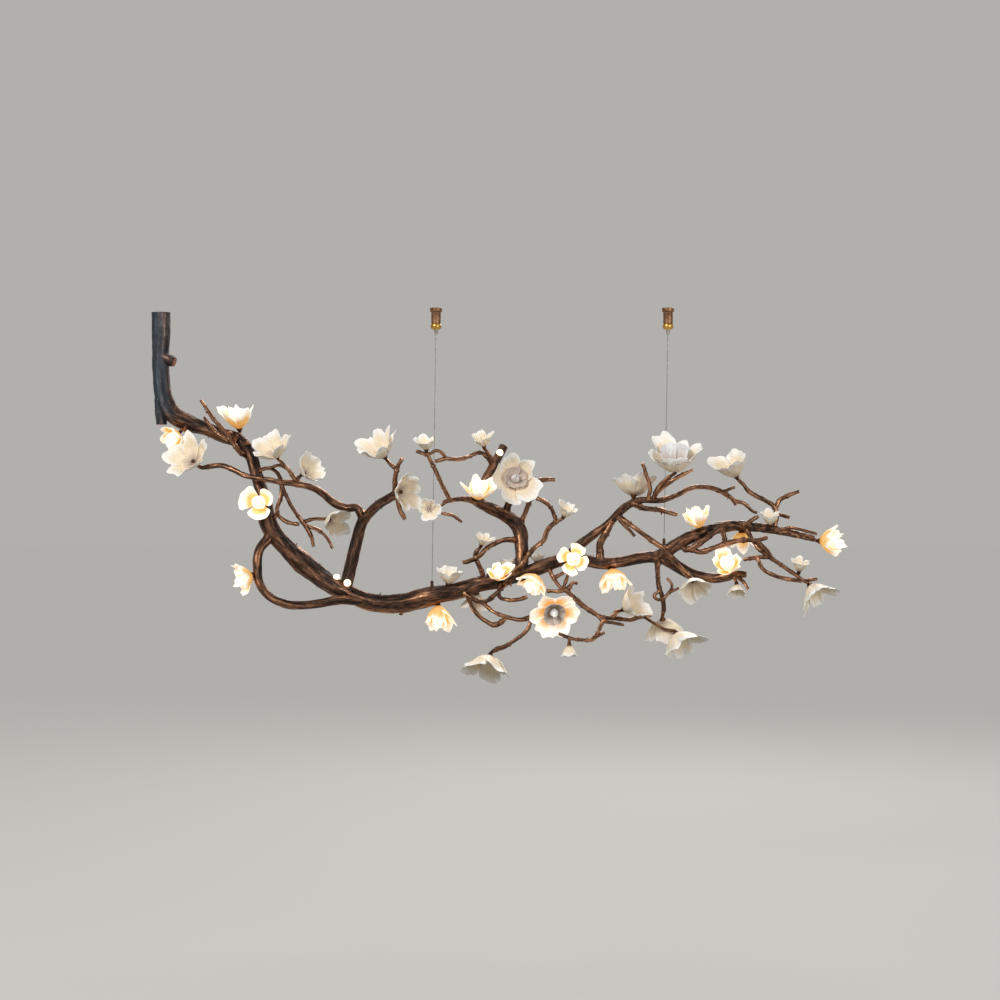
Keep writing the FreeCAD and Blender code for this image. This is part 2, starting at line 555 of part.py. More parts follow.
BLOSSOMS = {
    "trunk_front": Blossom((-905, 58, -384), (-0.3, -0.75, 0.55), 48, 45),
    "trunk_back": Blossom((-950, 90, -312), (-0.5, -0.6, -0.5), 31, 36, lit=True),
    "knot": Blossom((-792, 80, -298), (-0.1, -0.25, 0.96), 39, 62, lit=True),
    "left_arm_high": Blossom((-688, -14, -370), (-0.3, -0.55, 0.78), 48, 58),
    "left_arm_low": Blossom((-623, -32, -414), (0.68, -0.5, 0.42), 40, 50),
    "limb_left": Blossom((-735, 34, -488), (-0.05, -0.98, 0.12), 39, 32, lit=True),
    "net": Blossom((-563, -8, -530), (0.75, -0.55, -0.3), 36, 44),
    "loop": Blossom((-750, -6, -668), (-0.8, -0.45, -0.25), 35, 44, lit=True),
    "right_arm_high": Blossom((-416, -17, -372), (-0.45, -0.45, 0.75), 46, 58),
    "right_arm_side": Blossom((-376, -14, -460), (0.75, -0.62, -0.05), 43, 42),
    "cable_high": Blossom((-309, -30, -356), (-0.05, -0.45, 0.88), 22, 34, small=True),
    "cable_low": Blossom((-302, -26, -503), (-0.15, -0.98, 0.05), 24, 20, petals=6, small=True),
    "crown_high": Blossom((-170, -27, -345), (-0.15, -0.5, 0.85), 23, 38, small=True),
    "crown_left": Blossom((-184, -23, -476), (0.08, -0.52, 0.85), 38, 54, lit=True),
    "crown_large": Blossom((-92, -50, -428), (0.05, -0.97, 0.2), 54, 36),
    "crown_low": Blossom((-176, -6, -590), (0.3, -0.45, 0.84), 20, 32, small=True),
    "crown_right": Blossom((31, -17, -520), (0.4, -0.4, 0.8), 22, 38, small=True),
    "limb_top": Blossom((-258, -4, -688), (0.1, -0.15, 0.98), 30, 42),
    "limb_under": Blossom((-285, -6, -745), (0.06, -0.35, -0.93), 33, 60, lit=True),
    "under_left": Blossom((-190, 10, -714), (-0.08, 0.35, -0.93), 31, 50),
    "limb_middle": Blossom((-133, -24, -672), (0.0, -0.7, 0.7), 28, 32, lit=True),
    "limb_back": Blossom((-108, 22, -662), (0.0, 0.35, 0.93), 18, 34, small=True),
    "limb_bud": Blossom((-38, 16, -636), (0, 0.25, 0.97), 17, 22, small=True),
    "under_middle": Blossom((-42, -12, -670), (-0.35, -0.5, -0.8), 38, 45, lit=True),
    "limb_front": Blossom((52, -20, -629), (0, -0.98, 0.15), 38, 32, lit=True),
    "heart": Blossom((2, -44, -752), (0.08, -0.92, -0.38), 54, 42, petals=6, lit=True),
    "under_right": Blossom((150, -6, -654), (0.1, -0.45, -0.88), 38, 58, lit=True),
    "lowest_left": Blossom((-155, -30, -868), (-0.2, -0.4, -0.88), 48, 55),
    "heart_bud": Blossom((40, -35, -838), (0.05, -0.25, -0.97), 19, 32, small=True),
    "under_side": Blossom((180, -32, -752), (0.72, -0.5, 0.42), 40, 58),
    "arch_left": Blossom((201, -3, -468), (0.1, 0.25, 0.96), 46, 50),
    "arch_large": Blossom((298, -30, -406), (-0.1, -0.5, 0.86), 56, 68, petals=6),
    "tip_high": Blossom((462, -12, -420), (-0.4, -0.35, 0.85), 44, 64),
    "arch_right": Blossom((366, -11, -546), (-0.3, -0.45, 0.84), 34, 58, lit=True),
    "fork_front": Blossom((438, -20, -655), (-0.15, -0.7, 0.7), 36, 46, lit=True),
    "fork_back": Blossom((478, 26, -560), (0.05, 0.3, -0.95), 32, 46, lit=True),
    "tip_bud": Blossom((545, -4, -540), (0, -0.35, 0.94), 21, 38, small=True),
    "tip_end": Blossom((669, -1, -582), (0.9, -0.4, 0), 36, 54, lit=True),
    "tip_low_bud": Blossom((610, -17, -654), (0.05, -0.4, 0.9), 20, 34, small=True),
    "tip_low": Blossom((636, -17, -692), (0.5, -0.45, -0.74), 43, 56),
    "fork_low": Blossom((350, -40, -680), (0.1, -0.6, -0.8), 37, 44),
    "fork_bud": Blossom((458, -15, -692), (0, -0.5, -0.87), 22, 34, small=True),
    "hanging_back": Blossom((281, -16, -783), (0.15, 0.3, -0.94), 50, 56),
    "hanging_front": Blossom((312, -68, -815), (0.4, -0.4, -0.85), 50, 60),
}

# Bead lamps on the branch: foot and facing.
BEADS = [
    ((-541, 6, -676), (0, -0.5, 0.87)),
    ((-512, -6, -688), (-0.2, -0.8, 0.5)),
    ((-131, -24, -362), (0.2, -0.95, 0.2)),
]


def stem_pieces():
    """The trunk and the three limbs of the main line, each ending flush on the next."""
    rings = route_rings(STEM_ROUTE, LIMB_SIDES)
    ends = [0, TRUNK_END, MAIN_LIMB_END, MIDDLE_LIMB_END, len(rings) - 1]
    names = ["trunk", "main_limb", "middle_limb", "tip_limb"]
    return {name: stack(rings[first:last + 1])
            for name, first, last in zip(names, ends, ends[1:])}


def twig(route, blossom_name):
    """A twig along its route, squared to the calyx where it ends in a blossom."""
    if blossom_name is None:
        return stack(route_rings(route, sides_for(route)))
    blossom = BLOSSOMS[blossom_name]
    centres = [swayed(x, y, z) for x, y, z, radius in route] + [blossom.stem_end()]
    radii = [point[3] for point in route] + [CALYX_STEM_RADIUS]
    return stack(rings_along(centres, radii, sides_for(route), Vector(blossom.facing)))


def branch_pieces():
    """Every branch and group of twigs, coped in the order in which they are brazed on."""
    nodes = stem_pieces()
    built = list(nodes.values())
    for name, route in BRANCHES.items():
        solid = coped(stack(route_rings(route, sides_for(route))), built)
        nodes[name] = solid
        built.append(solid)
    for name, routes in TWIGS.items():
        group = []
        for blossom_name, route in routes:
            solid = coped(twig(route, blossom_name), built)
            group.append(solid)
            built.append(solid)
        nodes[name] = Part.makeCompound(group)
    return nodes, built


# ---- Ceiling plate and what hangs in the trunk ----

def cylinder(radius, low, high, x=0.0, y=0.0):
    """An upright cylinder between two heights."""
    return Part.makeCylinder(radius, high - low, Vector(x, y, low))


def trunk_prism(radius, low, high):
    """A many-sided upright prism on the trunk's axis between two heights."""
    return turned(Vector(TRUNK_X, TRUNK_Y, low), UP, [(0, radius), (high - low, radius)],
                  BORE_SIDES)


def trunk_mount():
    """The ceiling plate with its skirt, and what it hides in the trunk's bore."""
    plate_radius = PLATE_SEAT_RADIUS - PLATE_GAP
    skirt_low = PLATE_GAP - PLATE_SEAT_DEPTH
    inside = plate_radius - PLATE_SKIRT_WALL
    plate = trunk_prism(plate_radius, skirt_low, 0)
    plate = plate.cut(trunk_prism(inside, skirt_low, -PLATE_THICKNESS))
    plate = plate.cut(trunk_prism(LEAD_HOLE_RADIUS, -PLATE_THICKNESS, 0))
    for sign in (-1, 1):
        x = TRUNK_X + sign * PLATE_SCREW_SPACING / 2
        plate = plate.cut(cylinder(PLATE_SCREW_HOLE_RADIUS, -PLATE_THICKNESS, 0, x, TRUNK_Y))
    terminal = Part.makeBox(TERMINAL_WIDTH, TERMINAL_DEPTH, TERMINAL_HEIGHT,
                            Vector(TRUNK_X - TERMINAL_WIDTH / 2, TRUNK_Y - TERMINAL_DEPTH / 2,
                                   -PLATE_THICKNESS - TERMINAL_HEIGHT))
    driver = Part.makeBox(DRIVER_WIDTH, DRIVER_DEPTH, DRIVER_HEIGHT,
                          Vector(TRUNK_X - DRIVER_WIDTH / 2, TRUNK_Y - DRIVER_DEPTH / 2,
                                 -TRUNK_BORE_DEPTH))
    upright = [edge for edge in driver.Edges if abs(edge.tangentAt(edge.FirstParameter).z) > 0.9]
    driver = driver.makeChamfer(DRIVER_CHAMFER, upright)
    return {"ceiling_plate": plate, "terminal_block": terminal, "led_driver": driver}


def grub_axes():
    """The directions of the grub screws round the trunk's top."""
    step = 2 * math.pi / GRUB_SCREW_COUNT
    return [Vector(math.cos(k * step + math.pi / 6), math.sin(k * step + math.pi / 6), 0)
            for k in range(GRUB_SCREW_COUNT)]


def grub_rod(along, radius, start, end):
    """A rod square to the trunk's axis, at the middle of the plate's skirt."""
    height = -(PLATE_THICKNESS + PLATE_SEAT_DEPTH) / 2
    foot = Vector(TRUNK_X, TRUNK_Y, height) + along * start
    return turned(foot, along, [(0, radius), (end - start, radius)], SCREW_SIDES)


def bored_trunk(trunk):
    """The trunk with the plate's seat, the driver's bore and the grub screws' holes."""
    trunk = trunk.cut(trunk_prism(PLATE_SEAT_RADIUS, -PLATE_SEAT_DEPTH, 0))
    trunk = trunk.cut(trunk_prism(TRUNK_BORE_RADIUS, -TRUNK_BORE_DEPTH, -PLATE_SEAT_DEPTH))
    for along in grub_axes():
        trunk = trunk.cut(grub_rod(along, GRUB_SCREW_RADIUS + GRUB_SCREW_GAP,
                                   PLATE_SEAT_RADIUS - 1, TRUNK_TOP_RADIUS + 1))
    return trunk


def grub_screws():
    """The screws that hold the trunk to the plate's skirt."""
    start = PLATE_SEAT_RADIUS - PLATE_GAP + GRUB_SCREW_GAP
    end = TRUNK_TOP_RADIUS * math.cos(math.pi / LIMB_SIDES)
    return Part.makeCompound([grub_rod(along, GRUB_SCREW_RADIUS, start, end)
                              for along in grub_axes()])


# ---- Ceiling grippers and cables ----

def revolved(profile, x):
    """A hollow many-sided piece about the gripper's axis, from a closed (radius, height) line."""
    rings = [ring(Vector(x, 0, height), UP, Vector(1, 0, 0), [radius] * GRIPPER_SIDES)
             for radius, height in profile]
    faces = []
    for lower, upper in zip(rings, rings[1:] + rings[:1]):
        faces += band(lower, upper)
    return solid_of(faces)


def ceiling_cup(x):
    """The brass cup that a ceiling screw holds, with its flange at the top."""
    bore = CUP_RADIUS - CUP_WALL
    skin = [ring(Vector(x, 0, height), UP, Vector(1, 0, 0), [radius] * GRIPPER_SIDES)
            for radius, height in [(CUP_FLANGE_RADIUS, 0), (CUP_FLANGE_RADIUS, -CUP_FLANGE_HEIGHT),
                                   (CUP_RADIUS, -CUP_FLANGE_HEIGHT), (CUP_RADIUS, -CUP_HEIGHT),
                                   (bore, -CUP_HEIGHT), (bore, -CUP_TOP)]]
    return stack(skin).cut(cylinder(CUP_SCREW_HOLE_RADIUS, -CUP_TOP, 0, x))


def gripper_levels():
    """Heights inside the gripper body, from its top down."""
    top = -CUP_HEIGHT + STEM_LENGTH
    roof = top - STEM_TOP_WALL
    wedge_top = roof - CHAMBER_HEIGHT
    wedge_low = wedge_top - WEDGE_HEIGHT
    collar_low = -CUP_HEIGHT - COLLAR_HEIGHT
    recess_top = collar_low + NOZZLE_ENGAGEMENT + RELEASE_TRAVEL + NOZZLE_STOP_GAP
    return top, roof, wedge_top, wedge_low, recess_top, collar_low


def gripper_body(x):
    """The body that screws into the cup, with the spring chamber and the wedge for the jaws."""
    top, roof, wedge_top, wedge_low, recess_top, collar_low = gripper_levels()
    stem = CUP_RADIUS - CUP_WALL - THREAD_GAP
    hole = CABLE_RADIUS + CABLE_RUNNING_GAP
    bore = PLUNGER_STEM_RADIUS + PLUNGER_RUNNING_GAP
    recess = NOZZLE_RADIUS + PLUNGER_RUNNING_GAP
    return revolved([(hole, top), (stem, top), (stem, -CUP_HEIGHT), (COLLAR_RADIUS, -CUP_HEIGHT),
                     (COLLAR_RADIUS, collar_low), (recess, collar_low), (recess, recess_top),
                     (bore, recess_top), (bore, wedge_low), (CHAMBER_RADIUS, wedge_top),
                     (CHAMBER_RADIUS, roof), (hole, roof)], x)


def release_plunger(x):
    """The nozzle under the gripper: pushed up, it lifts the jaws off the cable."""
    top, roof, wedge_top, wedge_low, recess_top, collar_low = gripper_levels()
    bore = CABLE_RADIUS + CABLE_RUNNING_GAP
    head_top = collar_low + NOZZLE_ENGAGEMENT
    rim_low = head_top - NOZZLE_RIM_HEIGHT
    tip = head_top - NOZZLE_HEIGHT
    return revolved([(bore, wedge_low), (PLUNGER_STEM_RADIUS, wedge_low),
                     (PLUNGER_STEM_RADIUS, head_top), (NOZZLE_RADIUS, head_top),
                     (NOZZLE_RADIUS, rim_low), (NOZZLE_TIP_RADIUS, tip), (bore, tip)], x)


def clamp_jaws(x):
    """Three wedge jaws on the plunger that close on the cable in the body's cone."""
    top, roof, wedge_top, wedge_low, recess_top, collar_low = gripper_levels()
    bore = CABLE_RADIUS + CABLE_RUNNING_GAP
    sizes = [(wedge_low, bore, PLUNGER_STEM_RADIUS - JAW_GAP),
             (wedge_top, bore, CHAMBER_RADIUS - JAW_GAP)]
    width = GRIPPER_SIDES // JAW_COUNT
    jaws = []
    for first in range(0, JAW_COUNT * width, width):
        ends = []
        for height, inner, outer in sizes:
            inside = ring(Vector(x, 0, height), UP, Vector(1, 0, 0), [inner] * GRIPPER_SIDES)
            outside = ring(Vector(x, 0, height), UP, Vector(1, 0, 0), [outer] * GRIPPER_SIDES)
            kept = slice(first, first + width)
            ends.append(outside[kept] + inside[kept][::-1])
        jaws.append(stack(ends))
    return Part.makeCompound(jaws)


def return_spring(x):
    """The coil spring that presses the jaws down into the cone."""
    top, roof, wedge_top, wedge_low, recess_top, collar_low = gripper_levels()
    low = wedge_top + SPRING_WIRE / 2
    rise = roof - wedge_top - SPRING_WIRE
    steps = SPRING_TURNS * SPRING_STEPS_PER_TURN
    centres = []
    for k in range(steps + 1):
        angle = 2 * math.pi * k / SPRING_STEPS_PER_TURN
        centres.append(Vector(x + SPRING_RADIUS * math.cos(angle),
                              SPRING_RADIUS * math.sin(angle), low + rise * k / steps))
    return stack(rings_along(centres, [SPRING_WIRE / 2] * len(centres), SPRING_SIDES))


def cable_and_anchor(x, limb):
    """A cable from above its gripper down to its anchor on a limb, and the anchor."""
    levels = gripper_levels()
    bend = levels[-1] + NOZZLE_ENGAGEMENT - NOZZLE_HEIGHT
    foot_x = x - CABLE_LEAN
    low = limb.BoundBox.ZMin
    limb_top = cylinder(ANCHOR_RADIUS, low, 0, foot_x).common(limb).BoundBox.ZMax
    anchor_top = limb_top + ANCHOR_HEIGHT
    bore_floor = anchor_top - ANCHOR_BORE_DEPTH
    foot = Vector(foot_x, 0, limb_top - 2 * ANCHOR_RADIUS)
    height = anchor_top - foot.z
    bore_radius = CABLE_RADIUS + ANCHOR_BORE_GAP
    anchor = turned(foot, UP, [(0, ANCHOR_RADIUS), (height, ANCHOR_RADIUS), (height, bore_radius),
                               (height - ANCHOR_BORE_DEPTH, bore_radius)], ANCHOR_SIDES)
    anchor = coped(anchor, [limb])
    centres = [Vector(x, 0, levels[0] + CABLE_TAIL), Vector(x, 0, bend),
               Vector(foot_x, 0, bore_floor)]
    cable = stack(rings_along(centres, [CABLE_RADIUS] * 3, CABLE_SIDES, Vector(0, 0, -1)))
    return cable, anchor


def gripper_sets(branches):
    """Both ceiling grippers with their cables and anchors, by node name."""
    nodes = {}
    half = GRIPPER_SPACING / 2
    for name, x, limb in (("left", -half, "middle_limb"), ("right", half, "tip_limb")):
        cable, anchor = cable_and_anchor(x, branches[limb])
        nodes[name + "_ceiling_cup"] = ceiling_cup(x)
        nodes[name + "_gripper_body"] = gripper_body(x)
        nodes[name + "_release_plunger"] = release_plunger(x)
        nodes[name + "_clamp_jaws"] = clamp_jaws(x)
        nodes[name + "_return_spring"] = return_spring(x)
        nodes[name + "_cable"] = cable
        nodes[name + "_cable_anchor"] = anchor
    return nodes


# ---- Blossoms by node ----

BLOSSOM_GROUPS = {
    "left_blossoms": ["trunk_front", "left_arm_high", "left_arm_low", "net"],
    "middle_blossoms": ["right_arm_high", "right_arm_side", "crown_large", "limb_top",
                        "under_left", "lowest_left", "under_side"],
    "right_blossoms": ["arch_left", "arch_large", "tip_high", "tip_low", "fork_low",
                       "hanging_back", "hanging_front"],
}


def blossom_pieces(built):
    """The blossoms, with the calyx cups, holders, lamps, centre buttons and bead lamps."""
    nodes = {}
    for name, blossom in BLOSSOMS.items():
        if blossom.lit:
            nodes["lit_blossom_" + name] = blossom.porcelain()
    for name, members in BLOSSOM_GROUPS.items():
        nodes[name] = Part.makeCompound([BLOSSOMS[member].porcelain() for member in members])
    every = BLOSSOMS.values()
    nodes["small_blossoms"] = Part.makeCompound([b.porcelain() for b in every if b.small])
    stemmed = {name for routes in TWIGS.values() for name, route in routes}
    nodes["calyx_cups"] = Part.makeCompound(
        [b.calyx() if name in stemmed else coped(b.calyx(), built)
         for name, b in BLOSSOMS.items()])
    nodes["lamp_holders"] = Part.makeCompound([b.holder() for b in every if b.lit])
    nodes["lamp_capsules"] = Part.makeCompound([b.lamp() for b in every if b.lit])
    nodes["centre_buttons"] = Part.makeCompound(
        [b.cap() for b in every if not b.lit and not b.small])
    beads = []
    for foot, facing in BEADS:
        along = Vector(*facing)
        along.normalize()
        bead = turned(swayed(*foot) - along * BEAD_SINK, along,
                      [(0, BEAD_RADIUS), (BEAD_HEIGHT - BEAD_SHOULDER, BEAD_RADIUS),
                       (BEAD_HEIGHT, BEAD_TIP_RADIUS)], LAMP_SIDES)
        beads.append(coped(bead, built))
    nodes["bead_lamps"] = Part.makeCompound(beads)
    return nodes


def main():
    """Build every piece and write one STEP file for each node."""
    os.makedirs("parts", exist_ok=True)
    nodes, built = branch_pieces()
    nodes.update(gripper_sets(nodes))
    nodes.update(blossom_pieces(built))
    nodes["trunk"] = bored_trunk(nodes["trunk"])
    nodes.update(trunk_mount())
    nodes["trunk_grub_screws"] = grub_screws()
    for name, shape in nodes.items():
        shape.exportStep(os.path.join("parts", name + ".step"))
        print(name, len(shape.Solids), "solids", len(shape.Faces), "faces", shape.isValid())


main()
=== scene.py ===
"""Dressed model of the branch chandelier: bronzed branch, porcelain blossoms and grippers.

Sizes are in millimetres, as a maker would write them, and are turned to metres where a mesh
is made. The frame is the part's own: Z = 0 is the ceiling, +X runs from trunk to tip and -Y
is the viewed side.
"""

import logging
import math
import random
from dataclasses import dataclass, field
from enum import Enum

import bmesh
import bpy
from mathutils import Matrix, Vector, noise

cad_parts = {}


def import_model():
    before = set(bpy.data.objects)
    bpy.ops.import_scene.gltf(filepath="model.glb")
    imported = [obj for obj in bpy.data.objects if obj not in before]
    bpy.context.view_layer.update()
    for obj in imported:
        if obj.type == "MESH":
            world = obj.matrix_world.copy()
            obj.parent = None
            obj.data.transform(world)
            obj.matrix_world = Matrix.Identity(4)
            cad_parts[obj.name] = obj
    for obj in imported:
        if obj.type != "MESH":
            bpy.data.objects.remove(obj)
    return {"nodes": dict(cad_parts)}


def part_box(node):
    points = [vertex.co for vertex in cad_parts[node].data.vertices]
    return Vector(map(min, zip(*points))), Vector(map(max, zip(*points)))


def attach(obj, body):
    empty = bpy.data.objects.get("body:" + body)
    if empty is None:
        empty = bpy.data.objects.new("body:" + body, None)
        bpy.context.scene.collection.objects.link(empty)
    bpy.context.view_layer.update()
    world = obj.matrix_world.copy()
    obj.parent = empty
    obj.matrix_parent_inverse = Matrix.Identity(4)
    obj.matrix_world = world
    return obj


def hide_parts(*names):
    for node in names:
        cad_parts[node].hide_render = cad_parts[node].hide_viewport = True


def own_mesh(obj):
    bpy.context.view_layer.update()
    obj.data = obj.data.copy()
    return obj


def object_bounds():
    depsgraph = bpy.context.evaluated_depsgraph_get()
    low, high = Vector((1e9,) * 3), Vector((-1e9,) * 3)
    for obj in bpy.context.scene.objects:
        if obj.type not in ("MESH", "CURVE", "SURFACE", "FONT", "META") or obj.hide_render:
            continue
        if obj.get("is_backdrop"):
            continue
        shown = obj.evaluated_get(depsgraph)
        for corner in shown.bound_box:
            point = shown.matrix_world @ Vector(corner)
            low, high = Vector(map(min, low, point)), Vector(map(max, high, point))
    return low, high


LOG = logging.getLogger("branch_chandelier")
MM = 0.001
WELD_GAP = 0.02
SHARP_ANGLE = 38
UPWARDS = Vector((0, 0, 1))

Tree = bpy.types.NodeTree
Socket = bpy.types.NodeSocket
Sockets = bpy.types.bpy_prop_collection
Material = bpy.types.Material
Object = bpy.types.Object
Point = tuple[float, float, float]
Profile = list[tuple[float, float]]
Route = list[tuple[float, float, float, float]]
Stations = list[tuple[Vector, float]]


# ---- Nodes ----

def linear(hex_colour: str) -> tuple[float, float, float, float]:
    """Turns an sRGB hex colour to linear.

    Args:
        hex_colour: six hex digits.

    Returns:
        Linear red, green, blue and an alpha of 1.
    """
    parts = [int(hex_colour[k:k + 2], 16) / 255 for k in (0, 2, 4)]
    red, green, blue = (c / 12.92 if c <= 0.04045 else ((c + 0.055) / 1.055) ** 2.4
                        for c in parts)
    return red, green, blue, 1.0


def add(tree: Tree, kind: str, settings: dict | None = None,
        links: dict | None = None) -> bpy.types.Node:
    """Adds a node with its settings and links.

    Args:
        tree: the node tree.
        kind: the node's type name.
        settings: properties by name, and socket values by name or number.
        links: the output socket that feeds each input, by name or number.

    Returns:
        The new node.
    """
    node = tree.nodes.new(kind)
    for key, value in (settings or {}).items():
        if isinstance(key, str) and hasattr(node, key):
            setattr(node, key, value)
        else:
            node.inputs[key].default_value = value
    for key, source in (links or {}).items():
        tree.links.new(source, node.inputs[key])
    return node


def calc(tree: Tree, operation: str, *values: float | Socket, clamp: bool = False) -> Socket:
    """Adds a sum.

    Args:
        tree: the node tree.
        operation: the Math node's operation.
        values: its inputs in order, each a number or a socket.
        clamp: whether the result is kept between 0 and 1.

    Returns:
        The result's socket.
    """
    numbers = {k: v for k, v in enumerate(values) if isinstance(v, (int, float))}
    fields = {k: v for k, v in enumerate(values) if k not in numbers}
    return add(tree, "ShaderNodeMath", {"operation": operation, "use_clamp": clamp, **numbers},
               fields).outputs[0]


def mapped(tree: Tree, value: Socket, first: float, last: float, low: float = 0.0,
           high: float = 1.0) -> Socket:
    """Adds a change of range: from first to last it runs from low to high, and stops there.

    Args:
        tree: the node tree.
        value: the socket that is mapped.
        first: the value that gives low.
        last: the value that gives high.
        low: the result at first.
        high: the result at last.

    Returns:
        The result's socket.
    """
    return add(tree, "ShaderNodeMapRange",
               {"From Min": first, "From Max": last, "To Min": low, "To Max": high},
               {"Value": value}).outputs["Result"]


def clouds(tree: Tree, place: Socket, size_mm: float, detail: float = 2.0,
           roughness: float = 0.5) -> Socket:
    """Adds noise whose clouds have a real size.

    Args:
        tree: the node tree.
        place: where the noise is looked up.
        size_mm: how large a cloud is.
        detail: how many finer noises lie on it.
        roughness: how strong they are.

    Returns:
        The noise's socket.
    """
    return add(tree, "ShaderNodeTexNoise",
               {"Scale": 1 / (size_mm * MM), "Detail": detail, "Roughness": roughness},
               {"Vector": place}).outputs["Fac"]


def ramp(tree: Tree, factor: Socket, stops: list[tuple[float, str]]) -> Socket:
    """Adds a colour ramp.

    Args:
        tree: the node tree.
        factor: the socket that is looked up.
        stops: place and hex colour of each stop.

    Returns:
        The ramp's colour socket.
    """
    node = add(tree, "ShaderNodeValToRGB", links={"Fac": factor})
    while len(node.color_ramp.elements) < len(stops):
        node.color_ramp.elements.new(0.5)
    for element, (place, colour) in zip(node.color_ramp.elements, stops):
        element.position = place
        element.color = linear(colour)
    return node.outputs["Color"]


def tinted(tree: Tree, share: Socket, base: Socket, tint: str, blend: str = "MIX") -> Socket:
    """Adds a mix of a colour with a tint.

    Args:
        tree: the node tree.
        share: how much of the tint shows.
        base: the colour under it.
        tint: the tint's hex colour.
        blend: how the two mix.

    Returns:
        The mixed colour's socket.
    """
    return add(tree, "ShaderNodeMix",
               {"data_type": "RGBA", "blend_type": blend, 7: linear(tint)},
               {0: share, 6: base}).outputs[2]


def bumped(tree: Tree, height: Socket, strength: float, depth_mm: float) -> Socket:
    """Adds a bump.

    Args:
        tree: the node tree.
        height: the socket that gives the relief.
        strength: how much of it shows.
        depth_mm: how deep it is.

    Returns:
        The bumped normal's socket.
    """
    return add(tree, "ShaderNodeBump", {"Strength": strength, "Distance": depth_mm * MM},
               {"Height": height}).outputs["Normal"]


def object_place(tree: Tree) -> Socket:
    """Adds the place on the object, in metres."""
    return add(tree, "ShaderNodeTexCoord").outputs["Object"]


def direct_ray(tree: Tree) -> Socket:
    """Adds a value of 1 for what the camera sees straight, in a gloss or through glass.

    Args:
        tree: the node tree.

    Returns:
        The value's socket.
    """
    rays = add(tree, "ShaderNodeLightPath").outputs
    plain = calc(tree, "MAXIMUM", rays["Is Camera Ray"], rays["Is Transmission Ray"])
    return calc(tree, "MAXIMUM", plain, rays["Is Glossy Ray"])


# ---- Meshes ----

def link_object(name: str, data: bpy.types.ID) -> Object:
    """Makes an object of the data and puts it in the scene.

    Args:
        name: the object's name.
        data: a mesh, curve, light or camera.

    Returns:
        The new object.
    """
    thing = bpy.data.objects.new(name, data)
    bpy.context.scene.collection.objects.link(thing)
    return thing


def baked(source: Object, name: str) -> Object:
    """Turns an object with modifiers into a plain mesh object, and removes the first.

    Args:
        source: the object with live modifiers.
        name: the plain object's name.

    Returns:
        The plain object.
    """
    depsgraph = bpy.context.evaluated_depsgraph_get()
    mesh = bpy.data.meshes.new_from_object(source.evaluated_get(depsgraph),
                                           preserve_all_data_layers=True, depsgraph=depsgraph)
    mesh.name = name
    bpy.data.objects.remove(source)
    return link_object(name, mesh)


def sideways(along: Vector) -> Vector:
    """The direction square to a line that the part's rings start from."""
    helper = UPWARDS if abs(along.z) < 0.9 else Vector((1, 0, 0))
    return along.cross(helper).normalized()


def ring(centre: Vector, along: Vector, radius: float, sides: int) -> list[Vector]:
    """Points round a line.

    Args:
        centre: the ring's centre.
        along: the line's direction.
        radius: the ring's radius.
        sides: how many points.

    Returns:
        The points, turning from the sideways direction.
    """
    side = sideways(along)
    other = along.cross(side)
    return [centre + (side * math.cos(2 * math.pi * k / sides)
                      + other * math.sin(2 * math.pi * k / sides)) * radius
            for k in range(sides)]


